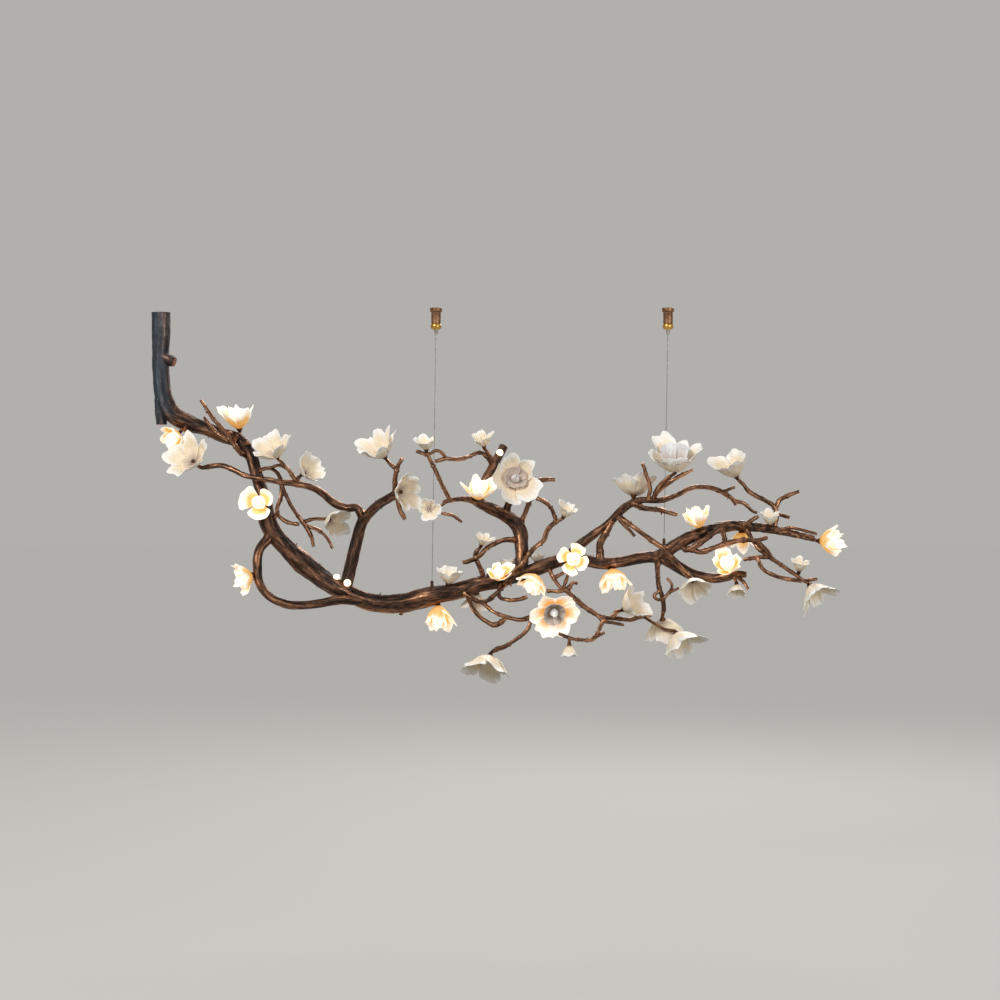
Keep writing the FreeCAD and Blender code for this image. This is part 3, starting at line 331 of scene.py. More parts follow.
@dataclass
class Shell:
    """A mesh being gathered in millimetres: corners, faces, and a place on each face corner."""

    corners: list[Vector] = field(default_factory=list)
    faces: list[list[int]] = field(default_factory=list)
    places: list[list[tuple[float, float]]] = field(default_factory=list)

    def grid(self, rows: list[list[Vector]], closed: bool,
             reach: tuple[float, float] = (0.0, 1.0)) -> None:
        """Adds a grid of faces through rows of points.

        Args:
            rows: rows of equal length.
            closed: whether each row closes on itself.
            reach: the second place value at the first row and at the last.
        """
        first = len(self.corners)
        width = len(rows[0])
        for row in rows:
            self.corners.extend(row)
        spans = width if closed else width - 1
        for j in range(len(rows) - 1):
            low, high = (reach[0] + (reach[1] - reach[0]) * step / (len(rows) - 1)
                         for step in (j, j + 1))
            for i in range(spans):
                k = (i + 1) % width
                self.faces.append([first + j * width + i, first + j * width + k,
                                   first + (j + 1) * width + k, first + (j + 1) * width + i])
                left, right = i / spans, (i + 1) / spans
                self.places.append([(left, low), (right, low), (right, high), (left, high)])

    def lid(self, row: list[Vector]) -> None:
        """Closes a ring of points with one face.

        Args:
            row: the ring.
        """
        first = len(self.corners)
        self.corners.extend(row)
        self.faces.append(list(range(first, first + len(row))))
        self.places.append([(0.5, 0.0)] * len(row))

    def tube(self, rows: list[list[Vector]]) -> None:
        """Adds a tube through rings of points, with a lid on each end.

        Args:
            rows: the rings.
        """
        self.grid(rows, closed=True)
        self.lid(rows[0])
        self.lid(rows[-1])

    def turned(self, foot: Vector, along: Vector, profile: Profile, sides: int) -> None:
        """Adds a turned form.

        Args:
            foot: where the profile's height is nought.
            along: the axis.
            profile: (radius, height) from one end to the other, or round a closed section.
            sides: how many sides.
        """
        rows = [ring(foot + along * height, along, radius, sides) for radius, height in profile]
        if profile[0] == profile[-1]:
            self.grid(rows, closed=True)
        else:
            self.tube(rows)

    def mesh(self, name: str, weld: bool = True) -> bpy.types.Mesh:
        """Makes the mesh, in metres, with its doubles merged and its faces outwards.

        Args:
            name: the mesh's name.
            weld: whether doubles are merged and normals worked out again.

        Returns:
            The mesh, with its UV map.
        """
        mesh = bpy.data.meshes.new(name)
        mesh.from_pydata([corner * MM for corner in self.corners], [], self.faces)
        uv_layer = mesh.uv_layers.new(name="UVMap")
        spots = [spot for face in self.places for spot in face]
        for loop, spot in zip(uv_layer.data, spots):
            loop.uv = spot
        if weld:
            work = bmesh.new()
            work.from_mesh(mesh)
            bmesh.ops.remove_doubles(work, verts=work.verts, dist=WELD_GAP * MM)
            bmesh.ops.recalc_face_normals(work, faces=work.faces)
            work.to_mesh(mesh)
            work.free()
        mesh.shade_smooth()
        return mesh

    def piece(self, name: str, finish: Material, crisp: bool = False) -> Object:
        """Makes a piece of the mesh, in one finish.

        Args:
            name: the piece's name.
            finish: its material.
            crisp: whether its sharp edges stay sharp.

        Returns:
            The piece.
        """
        mesh = self.mesh(name)
        if crisp:
            mesh.set_sharp_from_angle(angle=math.radians(SHARP_ANGLE))
        mesh.materials.append(finish)
        return link_object(name, mesh)


# ---- Sizes of the branch, its blossoms and its fittings, in millimetres ----

GRIPPER_SPACING = 580.0
SPRING_WIRE = 0.8
SPRING_RADIUS = 3.6
SPRING_TURNS = 4
CABLE_LEAN = 10.0
TRUNK_X = -998.0
TRUNK_Y = 120.0
TRUNK_TOP_RADIUS = 24.0
TRUNK_TOP_WALL = 5.0
PLATE_SEAT_RADIUS = TRUNK_TOP_RADIUS - TRUNK_TOP_WALL
PLATE_SEAT_DEPTH = 20.0
TRUNK_BORE_RADIUS = 15.0
TRUNK_BORE_DEPTH = 150.0
PORCELAIN_WALL = 2.2
FLOOR_RADIUS = 7.0
SMALL_FLOOR_RADIUS = 5.5
CALYX_RADIUS = 8.0
SMALL_CALYX_RADIUS = 6.0
CALYX_HEIGHT = 9.0
CALYX_STEM_RADIUS = 4.0
HOLDER_RADIUS = 5.5
HOLDER_HEIGHT = 7.0
LAMP_RADIUS = 4.8
LAMP_LENGTH = 17.0
CAP_RADIUS = 4.5
CAP_HEIGHT = 3.5
BEAD_RADIUS = 9.0
BEAD_HEIGHT = 14.0
BEAD_SINK = 4.0
SWAY = 120.0
SWAY_RISE = 300.0
LIMB_LEVEL = -665.0
LIMB_SLOPE = 0.18
SWAY_START = -750.0
SWAY_FULL = -450.0

# The trunk and the main line of the branch, from the ceiling to the far tip.
STEM_ROUTE: Route = [
    (TRUNK_X, TRUNK_Y, 0, TRUNK_TOP_RADIUS), (TRUNK_X, TRUNK_Y, -62, TRUNK_TOP_RADIUS),
    (-999, 120, -102, 21), (-997, 120, -162, 21), (-988, 116, -220, 22.5), (-963, 110, -262, 23),
    (-924, 104, -284, 21), (-879, 97, -299, 18), (-835, 90, -316, 18), (-794, 85, -330, 19),
    (-763, 78, -368, 16), (-751, 72, -405, 15.5), (-738, 66, -443, 16), (-727, 59, -482, 18),
    (-718, 50, -530, 22), (-704, 44, -562, 22), (-671, 38, -600, 22), (-630, 30, -638, 27),
    (-585, 22, -673, 25), (-542, 16, -698, 23), (-500, 10, -718, 21.5), (-455, 6, -735, 22.5),
    (-375, 0, -738, 25), (-330, 0, -728, 24), (-280, 0, -715, 22.5), (-230, 0, -705, 21.5),
    (-180, 0, -690, 19), (-130, 0, -680, 19), (-80, 0, -668, 16), (-30, 0, -650, 17.5),
    (20, 0, -632, 16), (70, 0, -628, 15.5), (120, 0, -637, 16.5), (170, 0, -635, 14),
    (220, 0, -625, 14), (270, 0, -618, 16), (305, 2, -595, 16), (345, 5, -573, 17),
    (395, 8, -555, 15), (433, 10, -547, 14), (475, 12, -545, 13), (508, 12, -548, 12),
    (545, 12, -552, 11), (583, 10, -560, 10), (620, 8, -568, 9), (655, 4, -577, 8),
]

# Branches that bear others.
BRANCHES: dict[str, Route] = {
    "lower_loop": [
        (-704, 44, -562, 13), (-733, 20, -605, 12), (-737, 5, -648, 11.5), (-731, -5, -685, 11),
        (-713, -12, -713, 11), (-678, -18, -735, 11), (-630, -20, -743, 11), (-580, -18, -738, 11),
        (-530, -14, -730, 11), (-485, -8, -733, 11), (-440, 5, -737, 11),
    ],
    "bracket_post": [
        (-520, 13, -708, 17), (-502, 5, -634, 15), (-490, 2, -580, 14.5), (-475, 0, -535, 14),
        (-462, 0, -512, 13),
    ],
    "left_arm": [
        (-472, 0, -525, 11), (-488, -4, -502, 11), (-518, -8, -500, 10), (-548, -12, -488, 10),
        (-580, -16, -463, 9), (-610, -22, -446, 8.5), (-638, -24, -440, 8), (-680, -8, -435, 7),
        (-725, 15, -427, 6.5), (-772, 35, -418, 6.5), (-812, 48, -400, 6.5), (-835, 54, -393, 6.5),
        (-870, 58, -396, 6),
    ],
    "right_arm": [
        (-475, 0, -530, 12), (-443, 0, -500, 12), (-418, 0, -483, 11.5), (-392, 0, -468, 11),
        (-378, 0, -462, 8),
    ],
    "crown_limb": [
        (-75, 0, -666, 18), (-76, 8, -593, 17.5), (-82, 10, -555, 18.5), (-115, 8, -520, 16.5),
        (-155, 4, -500, 15), (-185, 0, -486, 11.5), (-207, -4, -478, 8), (-235, -10, -478, 6),
        (-268, -16, -485, 5),
    ],
    "crown_post": [
        (-183, 0, -487, 9), (-172, -6, -440, 9), (-150, -12, -400, 11), (-121, -18, -346, 11),
    ],
    "upper_branch": [
        (40, 2, -627, 13), (57, 4, -605, 12.5), (95, 2, -573, 11), (127, 0, -550, 9),
        (150, -3, -530, 10), (170, -6, -508, 10), (197, -10, -488, 9.5), (225, -16, -480, 8),
        (270, -22, -480, 7), (308, -25, -466, 6), (335, -25, -452, 6), (370, -24, -447, 6),
        (402, -22, -452, 6), (432, -20, -465, 6), (452, -18, -480, 5.5), (460, -18, -492, 5),
    ],
    "lower_right_limb": [
        (275, 0, -618, 15), (320, -4, -650, 15), (358, -6, -668, 14), (395, -8, -675, 12.5),
        (433, -8, -672, 11), (458, -8, -665, 9), (482, -8, -665, 8),
    ],
}

# Twigs: the blossom at the end of each, if any, and its route.
TWIGS: dict[str, list[tuple[str | None, Route]]] = {
    "left_twigs": [
        (None, [(-999, 120, -112, 14), (-972, 112, -124, 14), (-961, 110, -128, 12)]),
        (None, [(-994, 119, -218, 20), (-996, 118, -262, 17), (-996, 117, -287, 14)]),
        (None, [(-770, 76, -372, 5), (-784, 58, -362, 6), (-812, 56, -328, 6),
            (-836, 58, -296, 5.5), (-857, 62, -272, 5), (-888, 66, -227, 4)]),
        (None, [(-815, 56, -328, 5), (-842, 66, -316, 5), (-880, 68, -270, 4)]),
        ("knot", [(-797, 85, -330, 9)]),
        ("trunk_back", [(-934, 106, -290, 7)]),
        ("left_arm_high", [(-635, -24, -441, 6), (-660, -20, -404, 5)]),
        ("left_arm_low", [(-640, -22, -441, 5), (-637, -24, -428, 5)]),
        ("trunk_front", [(-866, 58, -396, 5.5), (-885, 66, -398, 5)]),
        (None, [(-752, 71, -408, 5), (-714, 50, -400, 5), (-697, 42, -407, 5), (-684, 35, -430, 5),
            (-682, 28, -470, 5), (-690, 24, -510, 5), (-678, 22, -528, 5), (-657, 18, -538, 5),
            (-636, 12, -541, 5)]),
        (None, [(-714, 50, -400, 4), (-685, 20, -392, 4), (-661, -18, -403, 4)]),
        (None, [(-680, -9, -435, 5), (-662, -2, -480, 5), (-645, 1, -510, 5), (-628, 5, -535, 5.5),
            (-608, 8, -568, 5), (-600, 10, -598, 4)]),
        ("net", [(-628, 5, -535, 5), (-604, 2, -529, 4.5)]),
        (None, [(-624, 6, -542, 5), (-587, 9, -558, 4.5), (-564, 10, -580, 4),
            (-553, 10, -602, 3.5)]),
        (None, [(-712, 48, -540, 6), (-690, 26, -513, 5)]),
    ],
    "bracket_twigs": [
        (None, [(-389, 0, -468, 7), (-389, -2, -430, 6), (-383, -4, -402, 6),
            (-370, -5, -378, 5)]),
        ("right_arm_high", [(-384, -4, -404, 5), (-398, -9, -394, 4.5)]),
        ("right_arm_side", [(-391, -2, -466, 6)]),
        (None, [(-386, 0, -467, 6.5), (-378, 3, -500, 6), (-365, 5, -528, 5)]),
    ],
    "crown_twigs": [
        ("cable_high", [(-252, -13, -482, 5), (-268, -18, -450, 5), (-285, -22, -413, 5),
            (-300, -25, -382, 5)]),
        (None, [(-309, -25, -370, 4.5), (-333, -26, -361, 4.5)]),
        (None, [(-306, -25, -370, 4), (-282, -31, -360, 4), (-258, -31, -380, 4.5)]),
        (None, [(-286, -34, -386, 4), (-262, -32, -380, 5), (-230, -30, -380, 5),
            (-205, -28, -373, 5), (-182, -26, -363, 5), (-165, -22, -371, 5),
            (-148, -14, -394, 5.5)]),
        ("crown_high", [(-145, -14, -392, 6), (-158, -20, -368, 5.5)]),
        ("crown_large", [(-118, 6, -514, 9), (-106, -8, -482, 8.5), (-104, -22, -456, 8)]),
        (None, [(-80, 9, -548, 7), (-62, 4, -502, 6), (-52, 0, -475, 6), (-50, -2, -455, 6),
            (-42, -4, -440, 6), (-28, -5, -431, 6), (10, -5, -428, 5)]),
        ("crown_right", [(-120, -5, -690, 6), (-114, -29, -673, 6), (-98, -30, -658, 6),
            (-80, -31, -645, 6), (-62, -29, -620, 6), (-42, -25, -598, 6), (-22, -22, -582, 6),
            (-10, -18, -556, 6), (8, -12, -537, 6)]),
        (None, [(-51, -1, -468, 5.5), (-30, -4, -478, 5.5), (-5, -8, -495, 5),
            (12, -10, -530, 5)]),
        (None, [(-80, 8, -580, 8), (-118, -2, -580, 6.5), (-142, -6, -588, 6), (-163, -8, -600, 6),
            (-180, -10, -618, 6), (-205, -12, -632, 6), (-222, -13, -635, 5)]),
        ("limb_back", [(-107, 6, -678, 5)]),
        ("limb_bud", [(-38, 6, -655, 5)]),
        ("crown_low", [(-170, 0, -688, 7), (-175, 3, -660, 6), (-184, 6, -640, 6),
            (-192, 6, -618, 6)]),
        (None, [(-264, -15, -485, 4), (-281, -13, -501, 4), (-243, -16, -520, 4),
            (-225, -14, -534, 3.5)]),
        ("cable_low", [(-276, -14, -500, 4)]),
    ],
    "under_twigs": [
        (None, [(-235, -5, -700, 6), (-205, -24, -722, 5.5), (-170, -26, -733, 5.5),
            (-142, -26, -715, 5.5), (-116, -8, -690, 6)]),
        (None, [(-210, -23, -720, 5), (-198, -26, -750, 5), (-183, -26, -768, 5.5),
            (-162, -25, -783, 6), (-142, -24, -790, 6.5), (-112, -32, -770, 5)]),
        ("heart", [(-176, -26, -733, 5), (-150, -32, -755, 5), (-112, -34, -770, 5.5),
            (-75, -34, -775, 5.5), (-45, -32, -764, 5.5), (-20, -28, -752, 5)]),
        ("lowest_left", [(-50, -33, -766, 5), (-62, -33, -798, 5), (-92, -32, -825, 5),
            (-118, -30, -842, 6), (-138, -28, -850, 6)]),
        (None, [(-128, 0, -685, 6), (-132, 5, -720, 5), (-110, 8, -730, 5), (-80, 10, -728, 5),
            (-62, 10, -722, 4.5)]),
        (None, [(-12, 0, -640, 5), (2, -14, -672, 4.5), (16, -18, -692, 4.5),
            (28, -20, -704, 4.5)]),
        (None, [(-14, -18, -706, 4.5), (20, -20, -706, 5), (40, -20, -698, 5),
            (52, -20, -686, 4.5), (63, -20, -688, 4)]),
        (None, [(42, 0, -632, 5), (40, -12, -662, 4.5), (26, -19, -703, 4.5)]),
        (None, [(3, -14, -674, 4), (38, -11, -658, 4)]),
        (None, [(32, -20, -702, 6), (62, -22, -730, 6.5), (90, -22, -752, 6), (120, -22, -770, 6),
            (158, -22, -775, 6), (195, -20, -780, 6), (220, -18, -775, 5.5), (250, -16, -770, 5)]),
        (None, [(103, -22, -760, 4.5), (126, -32, -779, 4.5), (158, -34, -787, 4),
            (178, -35, -792, 3.5)]),
        (None, [(126, -32, -780, 5), (108, -31, -815, 5), (98, -31, -823, 5.5),
            (70, -31, -824, 4.5), (40, -32, -818, 4.5), (14, -28, -808, 4)]),
        (None, [(103, -31, -820, 4.5), (128, -33, -809, 4)]),
        ("heart_bud", [(42, -32, -818, 4.5)]),
        ("under_side", [(148, -22, -774, 5), (160, -24, -760, 5)]),
        ("hanging_front", [(232, -17, -773, 4.5), (258, -52, -790, 4), (284, -62, -804, 4)]),
    ],
    "right_twigs": [
        (None, [(120, -3, -630, 9), (120, -8, -588, 8.5), (135, -8, -562, 8), (152, -4, -528, 8)]),
        (None, [(160, -6, -520, 5), (188, -18, -552, 4.5), (205, -20, -570, 4)]),
        ("fork_low", [(162, -5, -516, 6), (220, -26, -560, 6), (250, -32, -583, 6),
            (275, -36, -600, 6.5), (292, -38, -618, 6), (312, -38, -640, 6), (332, -36, -660, 6)]),
        (None, [(236, -18, -480, 5), (238, -32, -448, 4.5), (228, -34, -418, 4.5),
            (218, -35, -390, 4)]),
        ("arch_large", [(246, -19, -480, 6), (258, -24, -450, 5.5), (280, -27, -428, 5)]),
        (None, [(254, -23, -462, 5), (286, -40, -436, 5), (315, -44, -418, 4.5),
            (340, -44, -406, 4)]),
        (None, [(452, -18, -480, 4.5), (483, -20, -490, 4.5), (500, -22, -507, 4),
            (512, -22, -512, 3.5)]),
        (None, [(424, -20, -460, 4.5), (455, -22, -448, 4)]),
        (None, [(200, -11, -488, 7), (225, -28, -500, 6), (258, -32, -504, 6),
            (286, -34, -511, 5.5), (306, -30, -516, 5)]),
        ("arch_left", [(192, -9, -492, 8)]),
        ("hanging_back", [(265, 0, -620, 7), (265, -10, -668, 6.5), (270, -14, -700, 6),
            (278, -16, -725, 6), (282, -18, -755, 6)]),
        (None, [(272, -14, -706, 4.5), (256, -24, -720, 4), (268, -32, -730, 4),
            (290, -30, -716, 4), (300, -28, -693, 4), (288, -26, -675, 3.5)]),
        (None, [(293, -30, -712, 4), (318, -28, -700, 3.5)]),
    ],
    "tip_twigs": [
        ("arch_right", [(369, 6, -565, 7)]),
        ("tip_end", [(648, 5, -576, 5.5)]),
        (None, [(312, 2, -590, 8), (336, -16, -603, 7.5), (370, -22, -585, 7.5),
            (400, -24, -563, 7.5), (430, -22, -540, 7)]),
        (None, [(338, -16, -602, 7), (370, -18, -609, 6.5), (400, -20, -600, 6.5),
            (433, -22, -588, 6.5), (470, -24, -580, 6), (508, -26, -580, 5.5),
            (535, -26, -573, 5)]),
        (None, [(420, -22, -548, 6), (428, -22, -570, 6), (430, -22, -588, 6)]),
        (None, [(462, 10, -546, 5.5), (483, -8, -540, 5), (503, -12, -528, 5),
            (516, -12, -521, 4.5)]),
        ("tip_high", [(557, 12, -552, 6), (565, 4, -520, 6), (560, 0, -498, 6), (535, -4, -480, 6),
            (515, -6, -470, 5.5), (495, -8, -458, 5.5), (480, -9, -440, 5)]),
        (None, [(561, 0, -500, 6), (573, -2, -480, 6), (595, -4, -468, 5.5),
            (622, -5, -458, 4.5)]),
        (None, [(564, 3, -514, 4.5), (596, 0, -524, 4)]),
        (None, [(562, 10, -555, 4.5), (597, -9, -549, 4.5), (632, -12, -557, 4),
            (660, -14, -565, 3.5)]),
        ("tip_low", [(484, 12, -546, 6), (502, -8, -582, 5.5), (520, -10, -605, 5.5),
            (545, -12, -625, 5.5), (570, -13, -643, 5), (595, -13, -661, 5), (616, -13, -676, 5)]),
        (None, [(510, -26, -581, 4.5), (534, -25, -608, 4.5), (546, -13, -627, 4.5)]),
        (None, [(540, -12, -622, 5), (512, -18, -622, 5), (495, -19, -625, 5),
            (476, -16, -628, 4.5)]),
        (None, [(508, -18, -623, 5), (520, -26, -650, 5), (545, -29, -665, 5), (583, -31, -675, 5),
            (620, -32, -678, 4.5), (652, -32, -675, 4)]),
        ("tip_low_bud", [(600, -14, -665, 4)]),
        ("fork_bud", [(450, -8, -668, 5)]),
        (None, [(458, -9, -667, 5), (474, -22, -684, 4), (484, -24, -700, 3.5)]),
    ],
}

# Stubs, thorns and knots, by the twigs that they are swept with.
SPURS: dict[str, list[Route]] = {
    "left_twigs": [
        [(-926, 92, -289, 9), (-928, 84, -296, 8.5), (-931, 77, -303, 6)],
        [(-797, 70, -320, 10), (-799, 62, -325, 8), (-800, 57, -328, 5)],
        [(-812, 78, -318, 8), (-815, 70, -312, 7), (-817, 64, -308, 4)],
        [(-776, 70, -338, 8), (-770, 60, -336, 6.5), (-767, 54, -335, 4)],
    ],
    "bracket_twigs": [
        [(-375, 0, -735, 8), (-376, -6, -752, 6), (-378, -11, -768, 4.5)],
    ],
    "under_twigs": [
        [(-128, -8, -684, 5), (-130, -14, -694, 4), (-133, -18, -701, 2.5)],
        [(-106, -6, -676, 4), (-104, -12, -688, 3), (-103, -15, -695, 2)],
    ],
    "right_twigs": [
        [(268, -26, -503, 3), (268, -28, -509, 2.4), (268, -29, -516, 1.4)],
        [(292, -28, -505, 3), (292, -29, -511, 2.4), (292, -31, -518, 1.4)],
    ],
}


# ---- Finishes ----

class Slot(Enum):
    """The record's material slots."""

    COPPER = "bronzed_copper"
    PORCELAIN = "porcelain"
    LAMP = "lamp_silicone"
    BEAD = "bead_glass"
    HOLDER = "holder_ceramic"
    BRASS = "gripper_brass"
    STEEL = "plated_steel"
    CABLE = "steel_cable"


@dataclass(frozen=True)
class Finish:
    """What every finish has: a name, and one Principled shader that its own nodes feed."""

    name: str

    def feeds(self, tree: Tree) -> dict[str, object]:
        """The shader's inputs by name, each a value or the socket that feeds it."""
        raise NotImplementedError

    def make(self) -> Material:
        """Builds the material.

        Returns:
            The material.
        """
        material = bpy.data.materials.new(self.name)
        material.use_nodes = True
        tree = material.node_tree
        tree.nodes.clear()
        shader = add(tree, "ShaderNodeBsdfPrincipled")
        add(tree, "ShaderNodeOutputMaterial", links={"Surface": shader.outputs["BSDF"]})
        for name, value in self.feeds(tree).items():
            if isinstance(value, Socket):
                tree.links.new(value, shader.inputs[name])
            else:
                shader.inputs[name].default_value = value
        return material


@dataclass(frozen=True)
class PatinatedCopper(Finish):
    """Copper with a brown liver-of-sulphur patina, brushed back on its high spots.

    Grooves are a near-black brown and flats a warm brown patina. Ridges turn toward bare copper,
    partly rubbed-back patina and partly a painted highlight, and thin twigs get a painted copper
    highlight; a cool slate tint in patches on the trunk near the ceiling is a painted reflection.
    """

    groove: str = "1C1511"
    flat: str = "3E2C23"
    rubbed: str = "80583F"
    # The bare copper colour shows on ridges partly as rubbed-back patina and partly as a painted
    # highlight.
    bare: str = "CC9870"
    # A cool slate tint: a painted reflection on the trunk near the ceiling.
    slate_reflection: str = "3F4B54"
    fleck: str = "76808A"
    patch_mm: float = 14.0
    groove_mm: float = 3.2
    grain_mm: float = 0.9
    relief_share: float = 0.6
    groove_share: float = 0.45
    patch_share: float = 0.3
    grain_share: float = 0.4
    reflection_from: float = -0.955
    reflection_full: float = -1.006

    def feeds(self, tree: Tree) -> dict[str, object]:
        """Wears the patina by relief, grooves and patches, paints a copper highlight on ridges
        and, by girth, on thin twigs, paints a slate reflection near the ceiling, then dusts it.

        Args:
            tree: the material's node tree.

        Returns:
            The shader's inputs by name.
        """
        bark, relief, girth = (
            add(tree, "ShaderNodeAttribute", {"attribute_name": name}).outputs[kind]
            for name, kind in (("bark", "Vector"), ("relief", "Fac"), ("girth", "Fac")))
        patches = clouds(tree, bark, self.patch_mm, 3.0, 0.6)
        streaks = clouds(tree, bark, self.groove_mm, 5.0, 0.62)
        grain = clouds(tree, bark, self.grain_mm)
        # Thin twigs are pushed toward bright copper: a painted highlight.
        slim = mapped(tree, girth, 4 * MM, 15 * MM, 0.05, -0.03)
        height = calc(tree, "MULTIPLY_ADD", relief, self.relief_share, slim)
        mottled = calc(tree, "MULTIPLY_ADD", streaks, self.groove_share, height)
        # Bright copper on the ridges is partly rubbed-back patina and partly a painted highlight;
        # the dark grooves are patina in the hollows.
        wear_and_highlight = calc(tree, "MULTIPLY_ADD", patches, self.patch_share, mottled)
        copper = ramp(tree, wear_and_highlight, [(0.53, self.groove), (0.63, self.flat), (0.73, self.rubbed),
                                   (0.83, self.bare)])
        axes = add(tree, "ShaderNodeSeparateXYZ", links={"Vector": object_place(tree)})
        # Painted reflection: a cool slate tint in patches on the trunk near the ceiling.
        near_ceiling = mapped(tree, axes.outputs["X"], self.reflection_from, self.reflection_full, 0.0, 1.7)
        reflection_patches = calc(tree, "MULTIPLY", near_ceiling, patches, clamp=True)
        reflection_tinted = tinted(tree, reflection_patches, copper, self.slate_reflection)
        dust = calc(tree, "MULTIPLY", mapped(tree, grain, 0.6, 0.7, 0.0, 0.55), patches)
        fine = calc(tree, "MULTIPLY_ADD", grain, self.grain_share, streaks)
        return {"Base Color": tinted(tree, dust, reflection_tinted, self.fleck), "Metallic": 0.82,
                "Roughness": mapped(tree, wear_and_highlight, 0.55, 0.83, 0.6, 0.3),
                "Normal": bumped(tree, fine, 0.7, 0.8)}


@dataclass(frozen=True)
class SawnCopper(Finish):
    """A cut end of copper rod, filed: paler and pinker than the patina, with saw marks."""

    colour: str = "C98663"
    shade: str = "7A4930"
    mark_mm: float = 1.1
    wave_turn: float = 6.28

    def feeds(self, tree: Tree) -> dict[str, object]:
        """Rules wavering saw marks across the end.

        Args:
            tree: the material's node tree.

        Returns:
            The shader's inputs by name.
        """
        marks = add(tree, "ShaderNodeTexWave",
                    {"Scale": 1 / (self.mark_mm * MM * self.wave_turn), "Distortion": 3.0,
                     "Detail": 3.0}, {"Vector": object_place(tree)}).outputs["Fac"]
        return {"Base Color": ramp(tree, marks, [(0.1, self.shade), (0.8, self.colour)]),
                "Metallic": 0.8, "Roughness": 0.48, "Normal": bumped(tree, marks, 0.4, 0.3)}


@dataclass(frozen=True)
class BisquePorcelain(Finish):
    """Unglazed fired porcelain, thin enough to let light through: matt, warm white, faintly
    veined.

    The second place value runs from the claw of a petal to its lip. The claw is darkened with
    painted shade, and the lip and the petal's edges are paled with a painted highlight. A lit
    blossom has its lamp's light through the porcelain painted in: amber near its lamp, paling to
    white at the lip, in its base colour and in an emission glow.
    """

    # The claw colour is painted shade deep in the cup; the lip colour is a painted highlight.
    claw: str = "AE988B"
    blade: str = "FBEBD0"
    lip: str = "FFFDF8"
    # The vein tint is painted shade in the vein creases.
    vein_shade: str = "C9B79A"
    glow: float = 0.0
    # The glow colours paint the lamp's light through the porcelain of a lit blossom.
    glow_claw: str = "E08C2C"
    glow_blade: str = "FFB850"
    glow_lip: str = "FFF6E4"
    cloud_mm: float = 22.0
    tooth_mm: float = 1.4
    vein_count: float = 7.0
    vein_shade_share: float = 0.09
    edge_power: float = 12.0

    def feeds(self, tree: Tree) -> dict[str, object]:
        """Grades the petal from painted shade at the claw to a painted highlight at the lip and
        its edges, and veins it with painted shade.

        Args:
            tree: the material's node tree.

        Returns:
            The shader's inputs by name.
        """
        place = add(tree, "ShaderNodeUVMap", {"uv_map": "UVMap"}).outputs["UV"]
        parts = add(tree, "ShaderNodeSeparateXYZ", links={"Vector": place}).outputs
        solid = object_place(tree)
        cloud = clouds(tree, solid, self.cloud_mm, 3.0, 0.55)
        drift = calc(tree, "MULTIPLY_ADD", cloud, 0.3, -0.15)
        blade = calc(tree, "ADD", parts["Y"], drift, clamp=True)
        across = calc(tree, "MULTIPLY_ADD", parts["X"], 2.0, -1.0)
        edge = calc(tree, "POWER", calc(tree, "ABSOLUTE", across), self.edge_power)
        level = calc(tree, "MAXIMUM", blade, calc(tree, "MULTIPLY", edge, parts["Y"]))
        # Claw colour: painted shade deep in the cup. Lip colour, also laid along the edges:
        # painted highlight.
        body = ramp(tree, level, [(0.0, self.claw), (0.38, self.blade), (0.62, self.blade),
                                  (0.9, self.lip)])
        fan = add(tree, "ShaderNodeMapping",
                  {"Scale": (self.vein_count, 0.7, 1.0)}, {"Vector": place}).outputs["Vector"]
        veins = add(tree, "ShaderNodeTexWave",
                    {"wave_profile": "SIN", "Scale": 0.32, "Distortion": 2.2, "Detail": 2.0,
                     "Detail Scale": 1.4}, {"Vector": fan}).outputs["Fac"]
        # Darker tint along the veins: painted shade in their creases.
        shaded = calc(tree, "MULTIPLY", veins, self.vein_shade_share)
        height = calc(tree, "MULTIPLY_ADD", clouds(tree, solid, self.tooth_mm), 0.18, veins)
        feeds = {"Base Color": tinted(tree, shaded, body, self.vein_shade, "MULTIPLY"),
                 "Roughness": 0.52, "Normal": bumped(tree, height, 0.2, 0.8)}
        # Lit blossoms: emission paints the lamp's glow through the porcelain, which is no lamp
        # itself.
        if self.glow:
            feeds["Emission Strength"] = self.glow
            feeds["Emission Color"] = ramp(
                tree, level, [(0.05, self.glow_claw), (0.35, self.glow_blade),
                              (0.6, self.glow_blade), (0.86, self.glow_lip)])
        return feeds


@dataclass(frozen=True)
class GlowingLamp(Finish):
    """A warm-white lamp behind clear silicone or frosted glass, bright in its middle."""

    colour: str = "FFE3AE"
    warm: str = "FFDFA0"
    white: str = "FFF6E2"
    strength: float = 4.0
    haze_mm: float = 3.0

    def feeds(self, tree: Tree) -> dict[str, object]:
        """Glows through a faint haze.

        Args:
            tree: the material's node tree.

        Returns:
            The shader's inputs by name.
        """
        haze = clouds(tree, object_place(tree), self.haze_mm)
        return {"Base Color": linear(self.colour), "Roughness": 0.22, "Coat Weight": 0.5,
                "Emission Color": ramp(tree, haze, [(0.3, self.warm), (0.7, self.white)]),
                "Emission Strength": self.strength}


